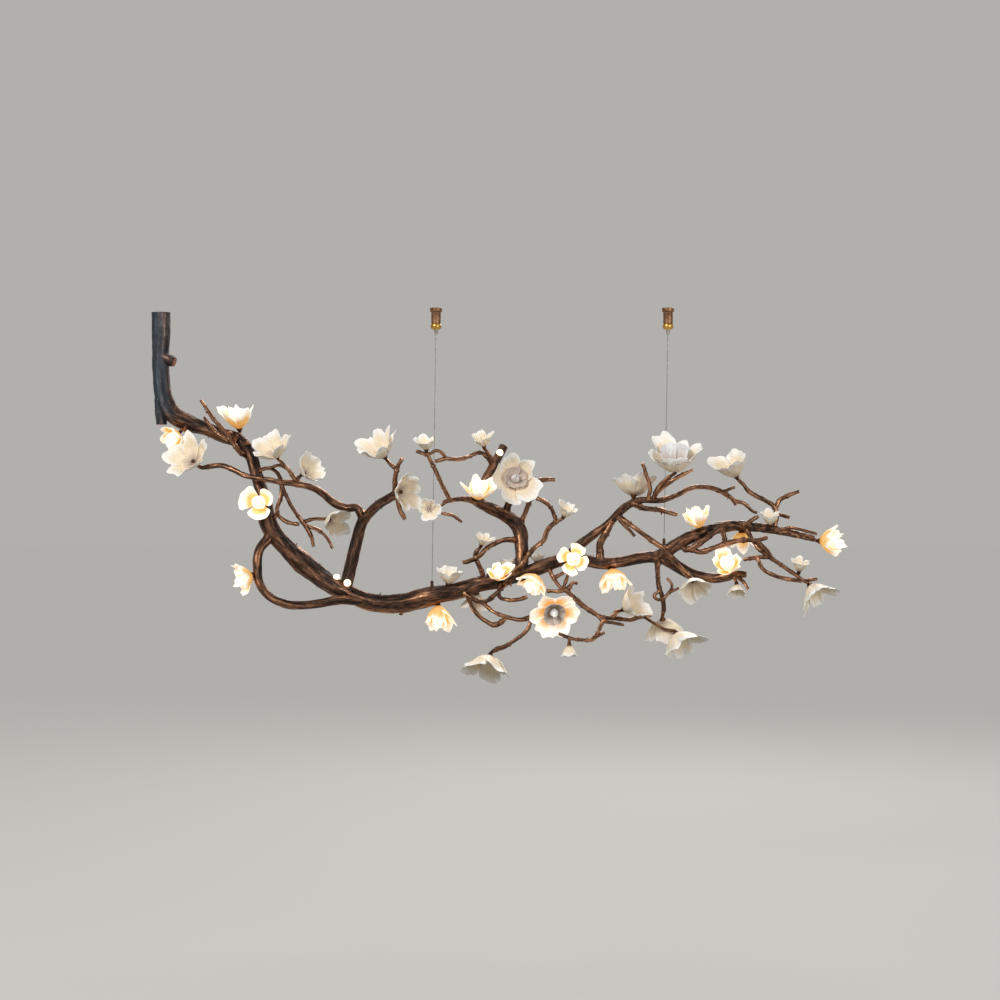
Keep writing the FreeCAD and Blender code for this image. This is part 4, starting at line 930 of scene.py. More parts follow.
@dataclass(frozen=True)
class WorkedMetal(Finish):
    """A turned, drawn or plated metal: fine tool lines about its axis and slight staining."""

    colour: str = "B98A45"
    stain: str = "7C5A2B"
    roughness: float = 0.3
    line_mm: float = 0.5
    stain_mm: float = 8.0

    def feeds(self, tree: Tree) -> dict[str, object]:
        """Stains the metal in clouds and rules it with fine lines.

        Args:
            tree: the material's node tree.

        Returns:
            The shader's inputs by name.
        """
        place = object_place(tree)
        squeezed = add(tree, "ShaderNodeMapping", {"Scale": (0.08, 0.08, 1.0)},
                       {"Vector": place}).outputs["Vector"]
        lines = clouds(tree, squeezed, self.line_mm)
        cloud = clouds(tree, place, self.stain_mm, 4.0)
        rough = mapped(tree, lines, 0.0, 1.0, self.roughness - 0.1, self.roughness + 0.12)
        return {"Base Color": ramp(tree, cloud, [(0.3, self.stain), (0.6, self.colour)]),
                "Metallic": 1.0, "Roughness": rough, "Normal": bumped(tree, lines, 0.2, 0.1)}


@dataclass(frozen=True)
class MouldedMatter(Finish):
    """A moulded or pressed non-metal, such as nylon, ABS or steatite: even, faintly grained."""

    colour: str = "DCDAD2"
    shade: str = "C2BFB4"
    roughness: float = 0.5
    grain_mm: float = 0.6

    def feeds(self, tree: Tree) -> dict[str, object]:
        """Grains the surface.

        Args:
            tree: the material's node tree.

        Returns:
            The shader's inputs by name.
        """
        grain = clouds(tree, object_place(tree), self.grain_mm, 3.0)
        return {"Base Color": ramp(tree, grain, [(0.35, self.shade), (0.65, self.colour)]),
                "Roughness": self.roughness, "Normal": bumped(tree, grain, 0.15, 0.1)}


@dataclass(frozen=True)
class StudioPaper(Finish):
    """Pale grey seamless paper, so that white porcelain stands out against it.

    The camera, gloss and glass see it lifted to the backdrop's grey, and it keeps shadows.
    """

    colour: str = "86847F"
    light: str = "F2F0EC"
    lift: float = 0.36

    def feeds(self, tree: Tree) -> dict[str, object]:
        """Lifts the paper where it is seen directly.

        Args:
            tree: the material's node tree.

        Returns:
            The shader's inputs by name.
        """
        return {"Base Color": linear(self.colour), "Roughness": 0.9,
                "Emission Color": linear(self.light),
                "Emission Strength": calc(tree, "MULTIPLY", direct_ray(tree), self.lift)}


# ---- Setting pieces on the part ----

def settle(piece: Object, slot: Slot, nodes: list[str], body: str = "chandelier") -> None:
    """Sets a piece on its body, in place of the plain nodes that it stands for.

    Args:
        piece: the finished piece.
        slot: the record's slot of its finish; not used.
        nodes: the plain nodes that it replaces.
        body: the body that carries it.
    """
    if nodes:
        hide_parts(*nodes)
    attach(piece, body)
    LOG.info("%s: %d faces on %s, for %s", piece.name, len(piece.data.polygons), body,
             ", ".join(nodes) or "no plain node")


def swayed(x: float, y: float, z: float) -> Vector:
    """A chosen point, moved in depth: twigs lean forward at the cables and back between them.

    Args:
        x: place along the branch.
        y: depth before the lean.
        z: height.

    Returns:
        The point where it stands.
    """
    rise = (z - LIMB_LEVEL - LIMB_SLOPE * x) / SWAY_RISE
    share = min(1.0, max(0.0, (x - SWAY_START) / (SWAY_FULL - SWAY_START)))
    wave = -math.cos(2 * math.pi * (x + CABLE_LEAN - GRIPPER_SPACING / 2) / GRIPPER_SPACING)
    return Vector((x, y + SWAY * max(-1.0, min(1.0, rise)) * wave * share, z))


# ---- Blossoms ----

@dataclass
class Blossom:
    """A porcelain blossom: where its floor sits, where it faces, its size and its kind."""

    base: Point
    facing: Point
    mouth: float
    depth: float
    petals: int = 5
    lit: bool = False
    small: bool = False

    def foot(self) -> Vector:
        """The middle of the floor."""
        return swayed(*self.base)

    def along(self) -> Vector:
        """The way the blossom faces."""
        return Vector(self.facing).normalized()

    def stem_end(self) -> Vector:
        """Where the stem meets the underside of the calyx."""
        return self.foot() - self.along() * CALYX_HEIGHT


# Lit blossoms of a few broad petals, and how many.
PADDLES: dict[str, int] = {"limb_left": 3, "limb_front": 4}


BLOSSOMS: dict[str, Blossom] = {
    "trunk_front": Blossom((-905, 58, -384), (-0.3, -0.75, 0.55), 48, 45),
    "trunk_back": Blossom((-950, 90, -312), (-0.5, -0.6, -0.5), 31, 36, lit=True),
    "knot": Blossom((-792, 80, -298), (-0.1, -0.25, 0.96), 39, 62, lit=True),
    "left_arm_high": Blossom((-688, -14, -370), (-0.3, -0.55, 0.78), 48, 58),
    "left_arm_low": Blossom((-623, -32, -414), (0.68, -0.5, 0.42), 40, 50),
    "limb_left": Blossom((-735, 34, -488), (-0.05, -0.98, 0.12), 39, 32, lit=True),
    "net": Blossom((-563, -8, -530), (0.75, -0.55, -0.3), 36, 44),
    "loop": Blossom((-750, -6, -668), (-0.8, -0.45, -0.25), 35, 44, lit=True),
    "right_arm_high": Blossom((-416, -17, -372), (-0.45, -0.45, 0.75), 46, 58),
    "right_arm_side": Blossom((-376, -14, -460), (0.75, -0.62, -0.05), 43, 42),
    "cable_high": Blossom((-309, -30, -356), (-0.05, -0.45, 0.88), 22, 34, small=True),
    "cable_low": Blossom((-302, -26, -503), (-0.15, -0.98, 0.05), 24, 20, petals=6, small=True),
    "crown_high": Blossom((-170, -27, -345), (-0.15, -0.5, 0.85), 23, 38, small=True),
    "crown_left": Blossom((-184, -23, -476), (0.08, -0.52, 0.85), 38, 54, lit=True),
    "crown_large": Blossom((-92, -50, -428), (0.05, -0.97, 0.2), 54, 36),
    "crown_low": Blossom((-176, -6, -590), (0.3, -0.45, 0.84), 20, 32, small=True),
    "crown_right": Blossom((31, -17, -520), (0.4, -0.4, 0.8), 22, 38, small=True),
    "limb_top": Blossom((-258, -4, -688), (0.1, -0.15, 0.98), 30, 42),
    "limb_under": Blossom((-285, -6, -745), (0.06, -0.35, -0.93), 33, 60, lit=True),
    "under_left": Blossom((-190, 10, -714), (-0.08, 0.35, -0.93), 31, 50),
    "limb_middle": Blossom((-133, -24, -672), (0.0, -0.7, 0.7), 28, 32, lit=True),
    "limb_back": Blossom((-108, 22, -662), (0.0, 0.35, 0.93), 18, 34, small=True),
    "limb_bud": Blossom((-38, 16, -636), (0, 0.25, 0.97), 17, 22, small=True),
    "under_middle": Blossom((-42, -12, -670), (-0.35, -0.5, -0.8), 38, 45, lit=True),
    "limb_front": Blossom((52, -20, -629), (0, -0.98, 0.15), 38, 32, lit=True),
    "heart": Blossom((2, -44, -752), (0.08, -0.92, -0.38), 54, 42, petals=6, lit=True),
    "under_right": Blossom((150, -6, -654), (0.1, -0.45, -0.88), 38, 58, lit=True),
    "lowest_left": Blossom((-155, -30, -868), (-0.2, -0.4, -0.88), 48, 55),
    "heart_bud": Blossom((40, -35, -838), (0.05, -0.25, -0.97), 19, 32, small=True),
    "under_side": Blossom((180, -32, -752), (0.72, -0.5, 0.42), 40, 58),
    "arch_left": Blossom((201, -3, -468), (0.1, 0.25, 0.96), 46, 50),
    "arch_large": Blossom((298, -30, -406), (-0.1, -0.5, 0.86), 56, 68, petals=6),
    "tip_high": Blossom((462, -12, -420), (-0.4, -0.35, 0.85), 44, 64),
    "arch_right": Blossom((366, -11, -546), (-0.3, -0.45, 0.84), 34, 58, lit=True),
    "fork_front": Blossom((438, -20, -655), (-0.15, -0.7, 0.7), 36, 46, lit=True),
    "fork_back": Blossom((478, 26, -560), (0.05, 0.3, -0.95), 32, 46, lit=True),
    "tip_bud": Blossom((545, -4, -540), (0, -0.35, 0.94), 21, 38, small=True),
    "tip_end": Blossom((669, -1, -582), (0.9, -0.4, 0), 36, 54, lit=True),
    "tip_low_bud": Blossom((610, -17, -654), (0.05, -0.4, 0.9), 20, 34, small=True),
    "tip_low": Blossom((636, -17, -692), (0.5, -0.45, -0.74), 43, 56),
    "fork_low": Blossom((350, -40, -680), (0.1, -0.6, -0.8), 37, 44),
    "fork_bud": Blossom((458, -15, -692), (0, -0.5, -0.87), 22, 34, small=True),
    "hanging_back": Blossom((281, -16, -783), (0.15, 0.3, -0.94), 50, 56),
    "hanging_front": Blossom((312, -68, -815), (0.4, -0.4, -0.85), 50, 60),
}

BLOSSOM_GROUPS: dict[str, list[str]] = {
    "left_blossoms": ["trunk_front", "left_arm_high", "left_arm_low", "net"],
    "middle_blossoms": ["right_arm_high", "right_arm_side", "crown_large", "limb_top",
                        "under_left", "lowest_left", "under_side"],
    "right_blossoms": ["arch_left", "arch_large", "tip_high", "tip_low", "fork_low",
                       "hanging_back", "hanging_front"],
}

# Bead lamps on the branch: foot and facing.
BEADS: list[tuple[Point, Point]] = [
    ((-541, 6, -676), (0, -0.5, 0.87)),
    ((-512, -6, -688), (-0.2, -0.8, 0.5)),
    ((-131, -24, -362), (0.2, -0.95, 0.2)),
]


# ---- The branch ----

@dataclass(frozen=True)
class BarkLook:
    """How one kind of branch is swept: its mesh, its relief and its thorns.

    The relief and the swell of a leaf node are shares of the radius, and thorns are counted
    on a square metre of skin.
    """

    step_mm: float
    sides: int
    relief: float
    swell: float
    seed: int
    thorns: float
    thorn_mm: float


class BarkSweep:
    """Sweeps a many-sided bark skin along curves, with Geometry Nodes.

    The skin's ridges run along each curve. It keeps what its finish needs: the place on the
    bark, the height of the relief and the girth.
    """

    END_FADE_MM = 9
    SLENDER_MM = (7, 12)
    NODE_STRAY_SCALE = 11.0
    NODE_STRAY = 13.0
    NODE_PHASE = 5.0
    NODE_SHARPNESS = 14.0
    BARK_DRAW = 0.16
    RIDGE_MM = 5
    LOBE_SCALE = 1.25
    LOBE_RUN = 9.0
    LOBE_WEIGHT = 2.4
    RELIEF_MIDDLE = 1.75
    RELIEF_WHOLE = 3.4
    THORN_RELIEF = 0.58

    def __init__(self, bark: Material, sawn: Material) -> None:
        """Builds the tree once for both materials.

        Args:
            bark: the patinated skin's finish.
            sawn: the cut ends' finish.
        """
        self.bark = bark
        self.sawn = sawn
        self.tree = bpy.data.node_groups.new("bark_sweep", "GeometryNodeTree")
        self.inputs: dict[str, str] = {}
        self.build()

    def given(self) -> Sockets:
        """Names the tree's inputs and its output.

        Returns:
            The inputs' sockets.
        """
        sockets = self.tree.interface
        sockets.new_socket(name="Curves", in_out="INPUT", socket_type="NodeSocketGeometry")
        for name, default in (("Step", 0.0025), ("Sides", 16), ("Relief", 0.1),
                              ("Swell", 0.15), ("Node Spacing", 0.037), ("Seed", 3),
                              ("Thorn Density", 0.0), ("Thorn Size", 0.0015)):
            kind = "NodeSocketInt" if isinstance(default, int) else "NodeSocketFloat"
            item = sockets.new_socket(name=name, in_out="INPUT", socket_type=kind)
            item.default_value = default
            self.inputs[name] = item.identifier
        sockets.new_socket(name="Skin", in_out="OUTPUT", socket_type="NodeSocketGeometry")
        return add(self.tree, "NodeGroupInput").outputs

    def calc(self, operation: str, *values: float | Socket) -> Socket:
        """A sum on fields: each value is a number or a socket."""
        return calc(self.tree, operation, *values)

    def captured(self, geometry: Socket, domain: str, kind: str,
                 **fields: Socket) -> list[Socket]:
        """Holds fields on a geometry.

        Args:
            geometry: the geometry's socket.
            domain: where they are held.
            kind: the fields' type.
            fields: each field's socket by name.

        Returns:
            The geometry's socket and each field's.
        """
        node = self.tree.nodes.new("GeometryNodeCaptureAttribute")
        node.domain = domain
        for name in fields:
            node.capture_items.new(kind, name)
        for number, source in enumerate((geometry, *fields.values())):
            self.tree.links.new(source, node.inputs[number])
        return list(node.outputs)[:len(fields) + 1]

    def scaled(self, vector: Socket, scale: Socket) -> Socket:
        """A vector times a number."""
        return add(self.tree, "ShaderNodeVectorMath", {"operation": "SCALE"},
                   {0: vector, "Scale": scale}).outputs[0]

    def raised(self, flat: Socket, height: Socket) -> Socket:
        """Gives a place a height of its own.

        Args:
            flat: the place, of which X and Y are kept.
            height: its new Z.

        Returns:
            The new place's socket.
        """
        parts = add(self.tree, "ShaderNodeSeparateXYZ", links={0: flat}).outputs
        return add(self.tree, "ShaderNodeCombineXYZ",
                   links={0: parts[0], 1: parts[1], 2: height}).outputs[0]

    def leaf_nodes(self, along: Socket, shift: Socket, spacing: Socket) -> Socket:
        """Pulses at uneven steps along a curve, where its leaves once stood.

        Args:
            along: the distance along the curve.
            shift: the curve's own random number.
            spacing: the mean step.

        Returns:
            The pulse's socket, up to 1.
        """
        turn = self.calc("MULTIPLY", self.calc("DIVIDE", along, spacing), 2 * math.pi)
        stray = add(self.tree, "ShaderNodeTexNoise",
                    {"noise_dimensions": "1D", "Scale": self.NODE_STRAY_SCALE},
                    {"W": self.calc("ADD", along, shift)}).outputs["Fac"]
        turn = self.calc("ADD", turn, self.calc("MULTIPLY", stray, self.NODE_STRAY))
        turn = self.calc("ADD", turn, self.calc("MULTIPLY", shift, self.NODE_PHASE))
        crest = self.calc("MAXIMUM", self.calc("COSINE", turn), 0.0)
        return self.calc("POWER", crest, self.NODE_SHARPNESS)

    def build(self) -> None:
        """Lays the nodes: resample, swell at the leaf nodes, sweep, push the relief out."""
        tree, given = self.tree, self.given()
        paths = add(tree, "GeometryNodeResampleCurve", {"mode": "LENGTH"},
                    {"Curve": given["Curves"], "Length": given["Step"]}).outputs["Curve"]
        shift = add(tree, "FunctionNodeRandomValue", {"data_type": "FLOAT", 3: 9.0},
                    {"Seed": given["Seed"]}).outputs[1]
        length = add(tree, "GeometryNodeSplineLength").outputs["Length"]
        paths, shift, length = self.captured(paths, "CURVE", "FLOAT", shift=shift,
                                             length=length)
        along = add(tree, "GeometryNodeSplineParameter").outputs["Length"]
        radius = add(tree, "GeometryNodeInputRadius").outputs["Radius"]
        nearest_end = self.calc("MINIMUM", along, self.calc("SUBTRACT", length, along))
        ends = mapped(tree, nearest_end, 0.0, self.END_FADE_MM * MM)
        thin, thick = self.SLENDER_MM
        slender = mapped(tree, radius, thin * MM, thick * MM, 1.0, 0.0)
        pulse = self.leaf_nodes(along, shift, given["Node Spacing"])
        node = self.calc("MULTIPLY", self.calc("MULTIPLY", pulse, given["Swell"]), slender)
        swell = self.calc("MULTIPLY", node, ends)
        girth = self.calc("MULTIPLY", radius, self.calc("ADD", swell, 1.0))
        paths, girth, along, ends = self.captured(paths, "POINT", "FLOAT", girth=girth,
                                                  along=along, ends=ends)
        circle = add(tree, "GeometryNodeCurvePrimitiveCircle", {"Radius": 1.0},
                     {"Resolution": given["Sides"]}).outputs["Curve"]
        spot = add(tree, "GeometryNodeInputPosition").outputs[0]
        circle, unit = self.captured(circle, "POINT", "VECTOR", unit=spot)
        tube = add(tree, "GeometryNodeCurveToMesh", {"Fill Caps": True},
                   {"Curve": paths, "Profile Curve": circle, "Scale": girth}).outputs["Mesh"]
        drawn = self.calc("ADD", self.calc("MULTIPLY", along, self.BARK_DRAW), shift)
        bark_place = self.raised(self.scaled(unit, girth), drawn)
        run = self.calc("DIVIDE", along, self.calc("MULTIPLY", girth, self.LOBE_RUN))
        lobes = add(tree, "ShaderNodeTexNoise", {"Scale": self.LOBE_SCALE, "Detail": 1.5},
                    {"Vector": self.raised(unit, self.calc("ADD", run, shift))}).outputs["Fac"]
        ridges = clouds(tree, bark_place, self.RIDGE_MM, 3.0, 0.62)
        relief = self.calc("ADD", self.calc("MULTIPLY", lobes, self.LOBE_WEIGHT), ridges)
        lift = self.calc("MULTIPLY", self.calc("SUBTRACT", relief, self.RELIEF_MIDDLE),
                         given["Relief"])
        push = self.calc("MULTIPLY", self.calc("MULTIPLY", lift, girth), ends)
        skin = tube
        share = self.calc("DIVIDE", relief, self.RELIEF_WHOLE)
        for name, kind, source in (("bark", "FLOAT_VECTOR", bark_place),
                                   ("relief", "FLOAT", share), ("girth", "FLOAT", girth)):
            skin = self.stored(skin, name, kind, "POINT", source)
        normal = add(tree, "GeometryNodeInputNormal").outputs[0]
        skin = add(tree, "GeometryNodeSetPosition",
                   links={"Geometry": skin,
                          "Offset": self.scaled(normal, push)}).outputs["Geometry"]
        self.finish(skin, given)

    def stored(self, geometry: Socket, name: str, kind: str, domain: str,
               value: Socket | float) -> Socket:
        """Stores a named attribute.

        Args:
            geometry: the geometry's socket.
            name: the attribute's name.
            kind: its data type.
            domain: where it is stored.
            value: its value, a number or a socket.

        Returns:
            The geometry's socket.
        """
        node = add(self.tree, "GeometryNodeStoreNamedAttribute",
                   {"data_type": kind, "domain": domain, "Name": name},
                   {"Geometry": geometry})
        if isinstance(value, Socket):
            self.tree.links.new(value, node.inputs["Value"])
        else:
            node.inputs["Value"].default_value = value
        return node.outputs["Geometry"]

    def finish(self, skin: Socket, given: Sockets) -> None:
        """Keeps the sawn ends flat, joins the thorns and gives both materials.

        Args:
            skin: the swept skin's socket.
            given: the tree's inputs.
        """
        tree = self.tree
        corners = add(tree, "GeometryNodeInputMeshFaceNeighbors").outputs[0]
        is_end = add(tree, "FunctionNodeCompare",
                     {"data_type": "INT", "operation": "GREATER_THAN", 3: 4},
                     {2: corners}).outputs[0]
        rounded = add(tree, "FunctionNodeBooleanMath", {"operation": "NOT"},
                      {0: is_end}).outputs[0]
        skin = add(tree, "GeometryNodeSetShadeSmooth",
                   links={"Geometry": skin, "Shade Smooth": rounded}).outputs["Geometry"]
        skin = self.stored(skin, "sawn", "BOOLEAN", "FACE", is_end)
        joined = add(tree, "GeometryNodeJoinGeometry")
        tree.links.new(self.thorns(skin, given), joined.inputs[0])
        tree.links.new(skin, joined.inputs[0])
        whole = add(tree, "GeometryNodeRealizeInstances",
                    links={"Geometry": joined.outputs["Geometry"]}).outputs["Geometry"]
        dressed = add(tree, "GeometryNodeSetMaterial", {"Material": self.bark},
                      {"Geometry": whole}).outputs["Geometry"]
        cut = add(tree, "GeometryNodeInputNamedAttribute",
                  {"data_type": "BOOLEAN", "Name": "sawn"}).outputs["Attribute"]
        ended = add(tree, "GeometryNodeSetMaterial", {"Material": self.sawn},
                    {"Geometry": dressed, "Selection": cut}).outputs["Geometry"]
        tree.links.new(ended, add(tree, "NodeGroupOutput").inputs["Skin"])

    def thorns(self, skin: Socket, given: Sockets) -> Socket:
        """Scatters short blunt thorns on the skin, square to it.

        Args:
            skin: the skin's socket.
            given: the tree's inputs.

        Returns:
            The thorns' socket.
        """
        tree = self.tree
        spots = add(tree, "GeometryNodeDistributePointsOnFaces", {"distribute_method": "RANDOM"},
                    {"Mesh": skin, "Density": given["Thorn Density"], "Seed": given["Seed"]})
        thorn = add(tree, "GeometryNodeMeshCone",
                    {"Vertices": 6, "Side Segments": 2, "Radius Top": 0.3,
                     "Radius Bottom": 1.0, "Depth": 3.2}).outputs["Mesh"]
        sunk = add(tree, "GeometryNodeTransform", {"Translation": (0.0, 0.0, -0.6)},
                   {"Geometry": thorn}).outputs["Geometry"]
        size = add(tree, "FunctionNodeRandomValue", {"data_type": "FLOAT", 2: 0.55, 3: 1.25},
                   {"Seed": given["Seed"]}).outputs[1]
        girth = self.calc("MULTIPLY", size, given["Thorn Size"])
        standing = add(tree, "GeometryNodeInstanceOnPoints",
                       links={"Points": spots.outputs["Points"], "Instance": sunk,
                              "Rotation": spots.outputs["Rotation"], "Scale": girth})
        return self.stored(standing.outputs["Instances"], "relief", "FLOAT", "INSTANCE",
                           self.THORN_RELIEF)

    def sweep(self, name: str, routes: list[Stations], look: BarkLook,
              number: int = 0) -> Object:
        """Sweeps one piece.

        Args:
            name: the piece's name.
            routes: the stations of each of its curves.
            look: how the bark is swept.
            number: which piece of its kind it is, so that each has its own bark.

        Returns:
            The baked piece.
        """
        curve = bpy.data.curves.new(name + "_routes", "CURVE")
        curve.dimensions = "3D"
        curve.resolution_u = 10
        for route in routes:
            spline = curve.splines.new("BEZIER")
            spline.bezier_points.add(len(route) - 1)
            for knot, (place, radius) in zip(spline.bezier_points, route):
                knot.co = place * MM
                knot.radius = radius * MM
                knot.handle_left_type = knot.handle_right_type = "AUTO"
        source = link_object(name + "_source", curve)
        modifier = source.modifiers.new("Sweep", "NODES")
        modifier.node_group = self.tree
        for label, value in (("Step", look.step_mm * MM), ("Sides", look.sides),
                             ("Relief", look.relief), ("Swell", look.swell),
                             ("Seed", look.seed + number), ("Thorn Density", look.thorns),
                             ("Thorn Size", look.thorn_mm * MM)):
            modifier[self.inputs[label]] = value
        return baked(source, name)


@dataclass
class Branch:
    """The bronzed branch: its trunk and limbs, the branches on them, twigs and spurs."""

    stem_look: BarkLook = BarkLook(3.0, 44, 0.2, 0.0, 5, 70.0, 2.6)
    branch_look: BarkLook = BarkLook(2.6, 26, 0.28, 0.1, 11, 180.0, 1.9)
    twig_look: BarkLook = BarkLook(2.0, 14, 0.46, 0.26, 31, 420.0, 1.3)
    collar: float = 1.3
    collar_run: float = 2.2
    collar_share: float = 0.6
    widest_collared: float = 15.0
    bore_sides: int = 48
    bore_clearance: float = 10.0

    def stations(self, route: Route) -> Stations:
        """A route's stations where they stand."""
        return [(swayed(x, y, z), radius) for x, y, z, radius in route]

    def collared(self, stations: Stations) -> Stations:
        """Flares the start of a route, as a branch swells where it leaves its bearer.

        Args:
            stations: the route's stations.

        Returns:
            The stations with a wide first one and a new one a little way on, or as they
            are where the branch is too thick to swell.
        """
        (start, radius), (onward, next_radius) = stations[:2]
        if radius > self.widest_collared:
            return stations
        span = (onward - start).length
        share = min(self.collar_share, self.collar_run * radius / span)
        settled = (start.lerp(onward, share), radius + (next_radius - radius) * share)
        return [(start, radius * self.collar), settled] + stations[1:]

    def stem(self, sweep: BarkSweep) -> Object:
        """Makes the trunk and the three limbs in one skin, bored at the trunk's top.

        Args:
            sweep: sweeps the bark.

        Returns:
            The piece.
        """
        skin = sweep.sweep("stem_bark", [self.stations(STEM_ROUTE)], self.stem_look)
        cutter = Shell()
        cutter.turned(Vector((TRUNK_X, TRUNK_Y, 0)), UPWARDS,
                      [(TRUNK_BORE_RADIUS, -TRUNK_BORE_DEPTH),
                       (TRUNK_BORE_RADIUS, -PLATE_SEAT_DEPTH),
                       (PLATE_SEAT_RADIUS, -PLATE_SEAT_DEPTH),
                       (PLATE_SEAT_RADIUS, self.bore_clearance)], self.bore_sides)
        tool = cutter.piece("trunk_bore", sweep.sawn)
        cut = skin.modifiers.new("Bore", "BOOLEAN")
        cut.operation = "DIFFERENCE"
        cut.solver = "EXACT"
        cut.object = tool
        bored = baked(skin, "stem_bark")
        bpy.data.objects.remove(tool)
        return bored

    def twigs(self, name: str) -> list[Stations]:
        """Routes a set of twigs up to their blossoms, and its spurs.

        Args:
            name: the set's name.

        Returns:
            The stations of each.
        """
        ways = []
        for blossom_name, route in TWIGS[name]:
            stations = self.stations(route)
            if blossom_name is not None:
                stations.append((BLOSSOMS[blossom_name].stem_end(), CALYX_STEM_RADIUS))
            ways.append(self.collared(stations))
        return ways + [self.stations(spur) for spur in SPURS.get(name, [])]

    def build(self, sweep: BarkSweep) -> None:
        """Makes every piece of the branch and sets it on its nodes.

        Args:
            sweep: sweeps the bark.
        """
        settle(self.stem(sweep), Slot.COPPER, ["trunk", "main_limb", "middle_limb", "tip_limb"])
        for number, (name, route) in enumerate(BRANCHES.items()):
            way = self.collared(self.stations(route))
            piece = sweep.sweep(name + "_bark", [way], self.branch_look, number)
            settle(piece, Slot.COPPER, [name])
        for number, name in enumerate(TWIGS):
            piece = sweep.sweep(name + "_bark", self.twigs(name), self.twig_look, number)
            settle(piece, Slot.COPPER, [name])


# ---- Blossom work ----

# What stands on a blossom's floor: (radius, height over the floor's underside).
HOLDER_PROFILE: Profile = [
    (HOLDER_RADIUS - inset, PORCELAIN_WALL + height)
    for inset, height in ((0.5, -1), (0, 0), (0, 2), (0.6, 2.5), (0.6, 4), (0, 4.5), (0, 6.4),
                          (0.5, HOLDER_HEIGHT))]
LAMP_FOOT = PORCELAIN_WALL + HOLDER_HEIGHT
LAMP_PROFILE: Profile = [(LAMP_RADIUS * 0.8, LAMP_FOOT), (LAMP_RADIUS, LAMP_FOOT + 1)] + [
    (LAMP_RADIUS * math.cos(a),
     LAMP_FOOT + LAMP_LENGTH - LAMP_RADIUS + LAMP_RADIUS * math.sin(a))
    for a in (0.0, 0.35, 0.7, 1.05, 1.35, 1.5)]
BUTTON_PROFILE: Profile = [(CAP_RADIUS, PORCELAIN_WALL),
                           (CAP_RADIUS, PORCELAIN_WALL + CAP_HEIGHT),
                           (CAP_RADIUS - 1, PORCELAIN_WALL + CAP_HEIGHT + 0.8)]


def own_seed(name: str) -> int:
    """A fixed seed that belongs to a name."""
    return sum(map(ord, name))


@dataclass(frozen=True)
class Whorl:
    """One ring of petals: how many, how wide and deep it opens, and how pale it is.

    Turns are in radians. The reach is the second place value at the claw and at the lip.
    """

    count: int
    floor: float
    mouth: float
    depth: float
    turn: float = 0.0
    notch: float = 0.36
    flare: float = 1.5
    reach: tuple[float, float] = (0.0, 1.0)
    spread: float = 1.28
    tip: float = 2.2
    fall: float = 0.3
    fray: float = 1.0
    shut: float = 0.0


@dataclass(frozen=True)
class PetalShape:
    """How one petal is pinched, before it is bent round its blossom."""

    reach: float
    notch: float
    point: float
    spread: float
    tilt: float
    twist: float
    ruffle: float
    ragged: float
    phase: float


@dataclass(frozen=True)
class PetalMould:
    """How every petal is bent: shares of its whorl's mouth, depth and floor, and waves.

    Waves are counted in radians across half a petal.
    """

    claw: float = 0.75
    shallow_depth: float = 1.25
    shallow_round: float = 0.78
    deep_round: float = 1.05
    rise: float = 1.32
    curl_from: float = 0.62
    curl_out: float = 0.9
    curl_down: float = 0.55
    lap_fade: float = 0.3
    trough: float = 0.12
    trough_power: float = 0.8
    tear_waves: tuple[float, float] = (2.3, 6.5)
    tear_rows: tuple[float, float] = (0.5, 3.5)
    fine_tear: float = 0.45
    frill: float = 0.06
    frill_rise: float = 0.9
    frill_waves: tuple[float, float, float] = (3.6, 8.4, 5.8)
    fine_frill: float = 0.7
    fine_phase: float = 1.7
    narrowing: float = 0.08
    dent_mm: float = 3.4
    dent_from: float = 1.4


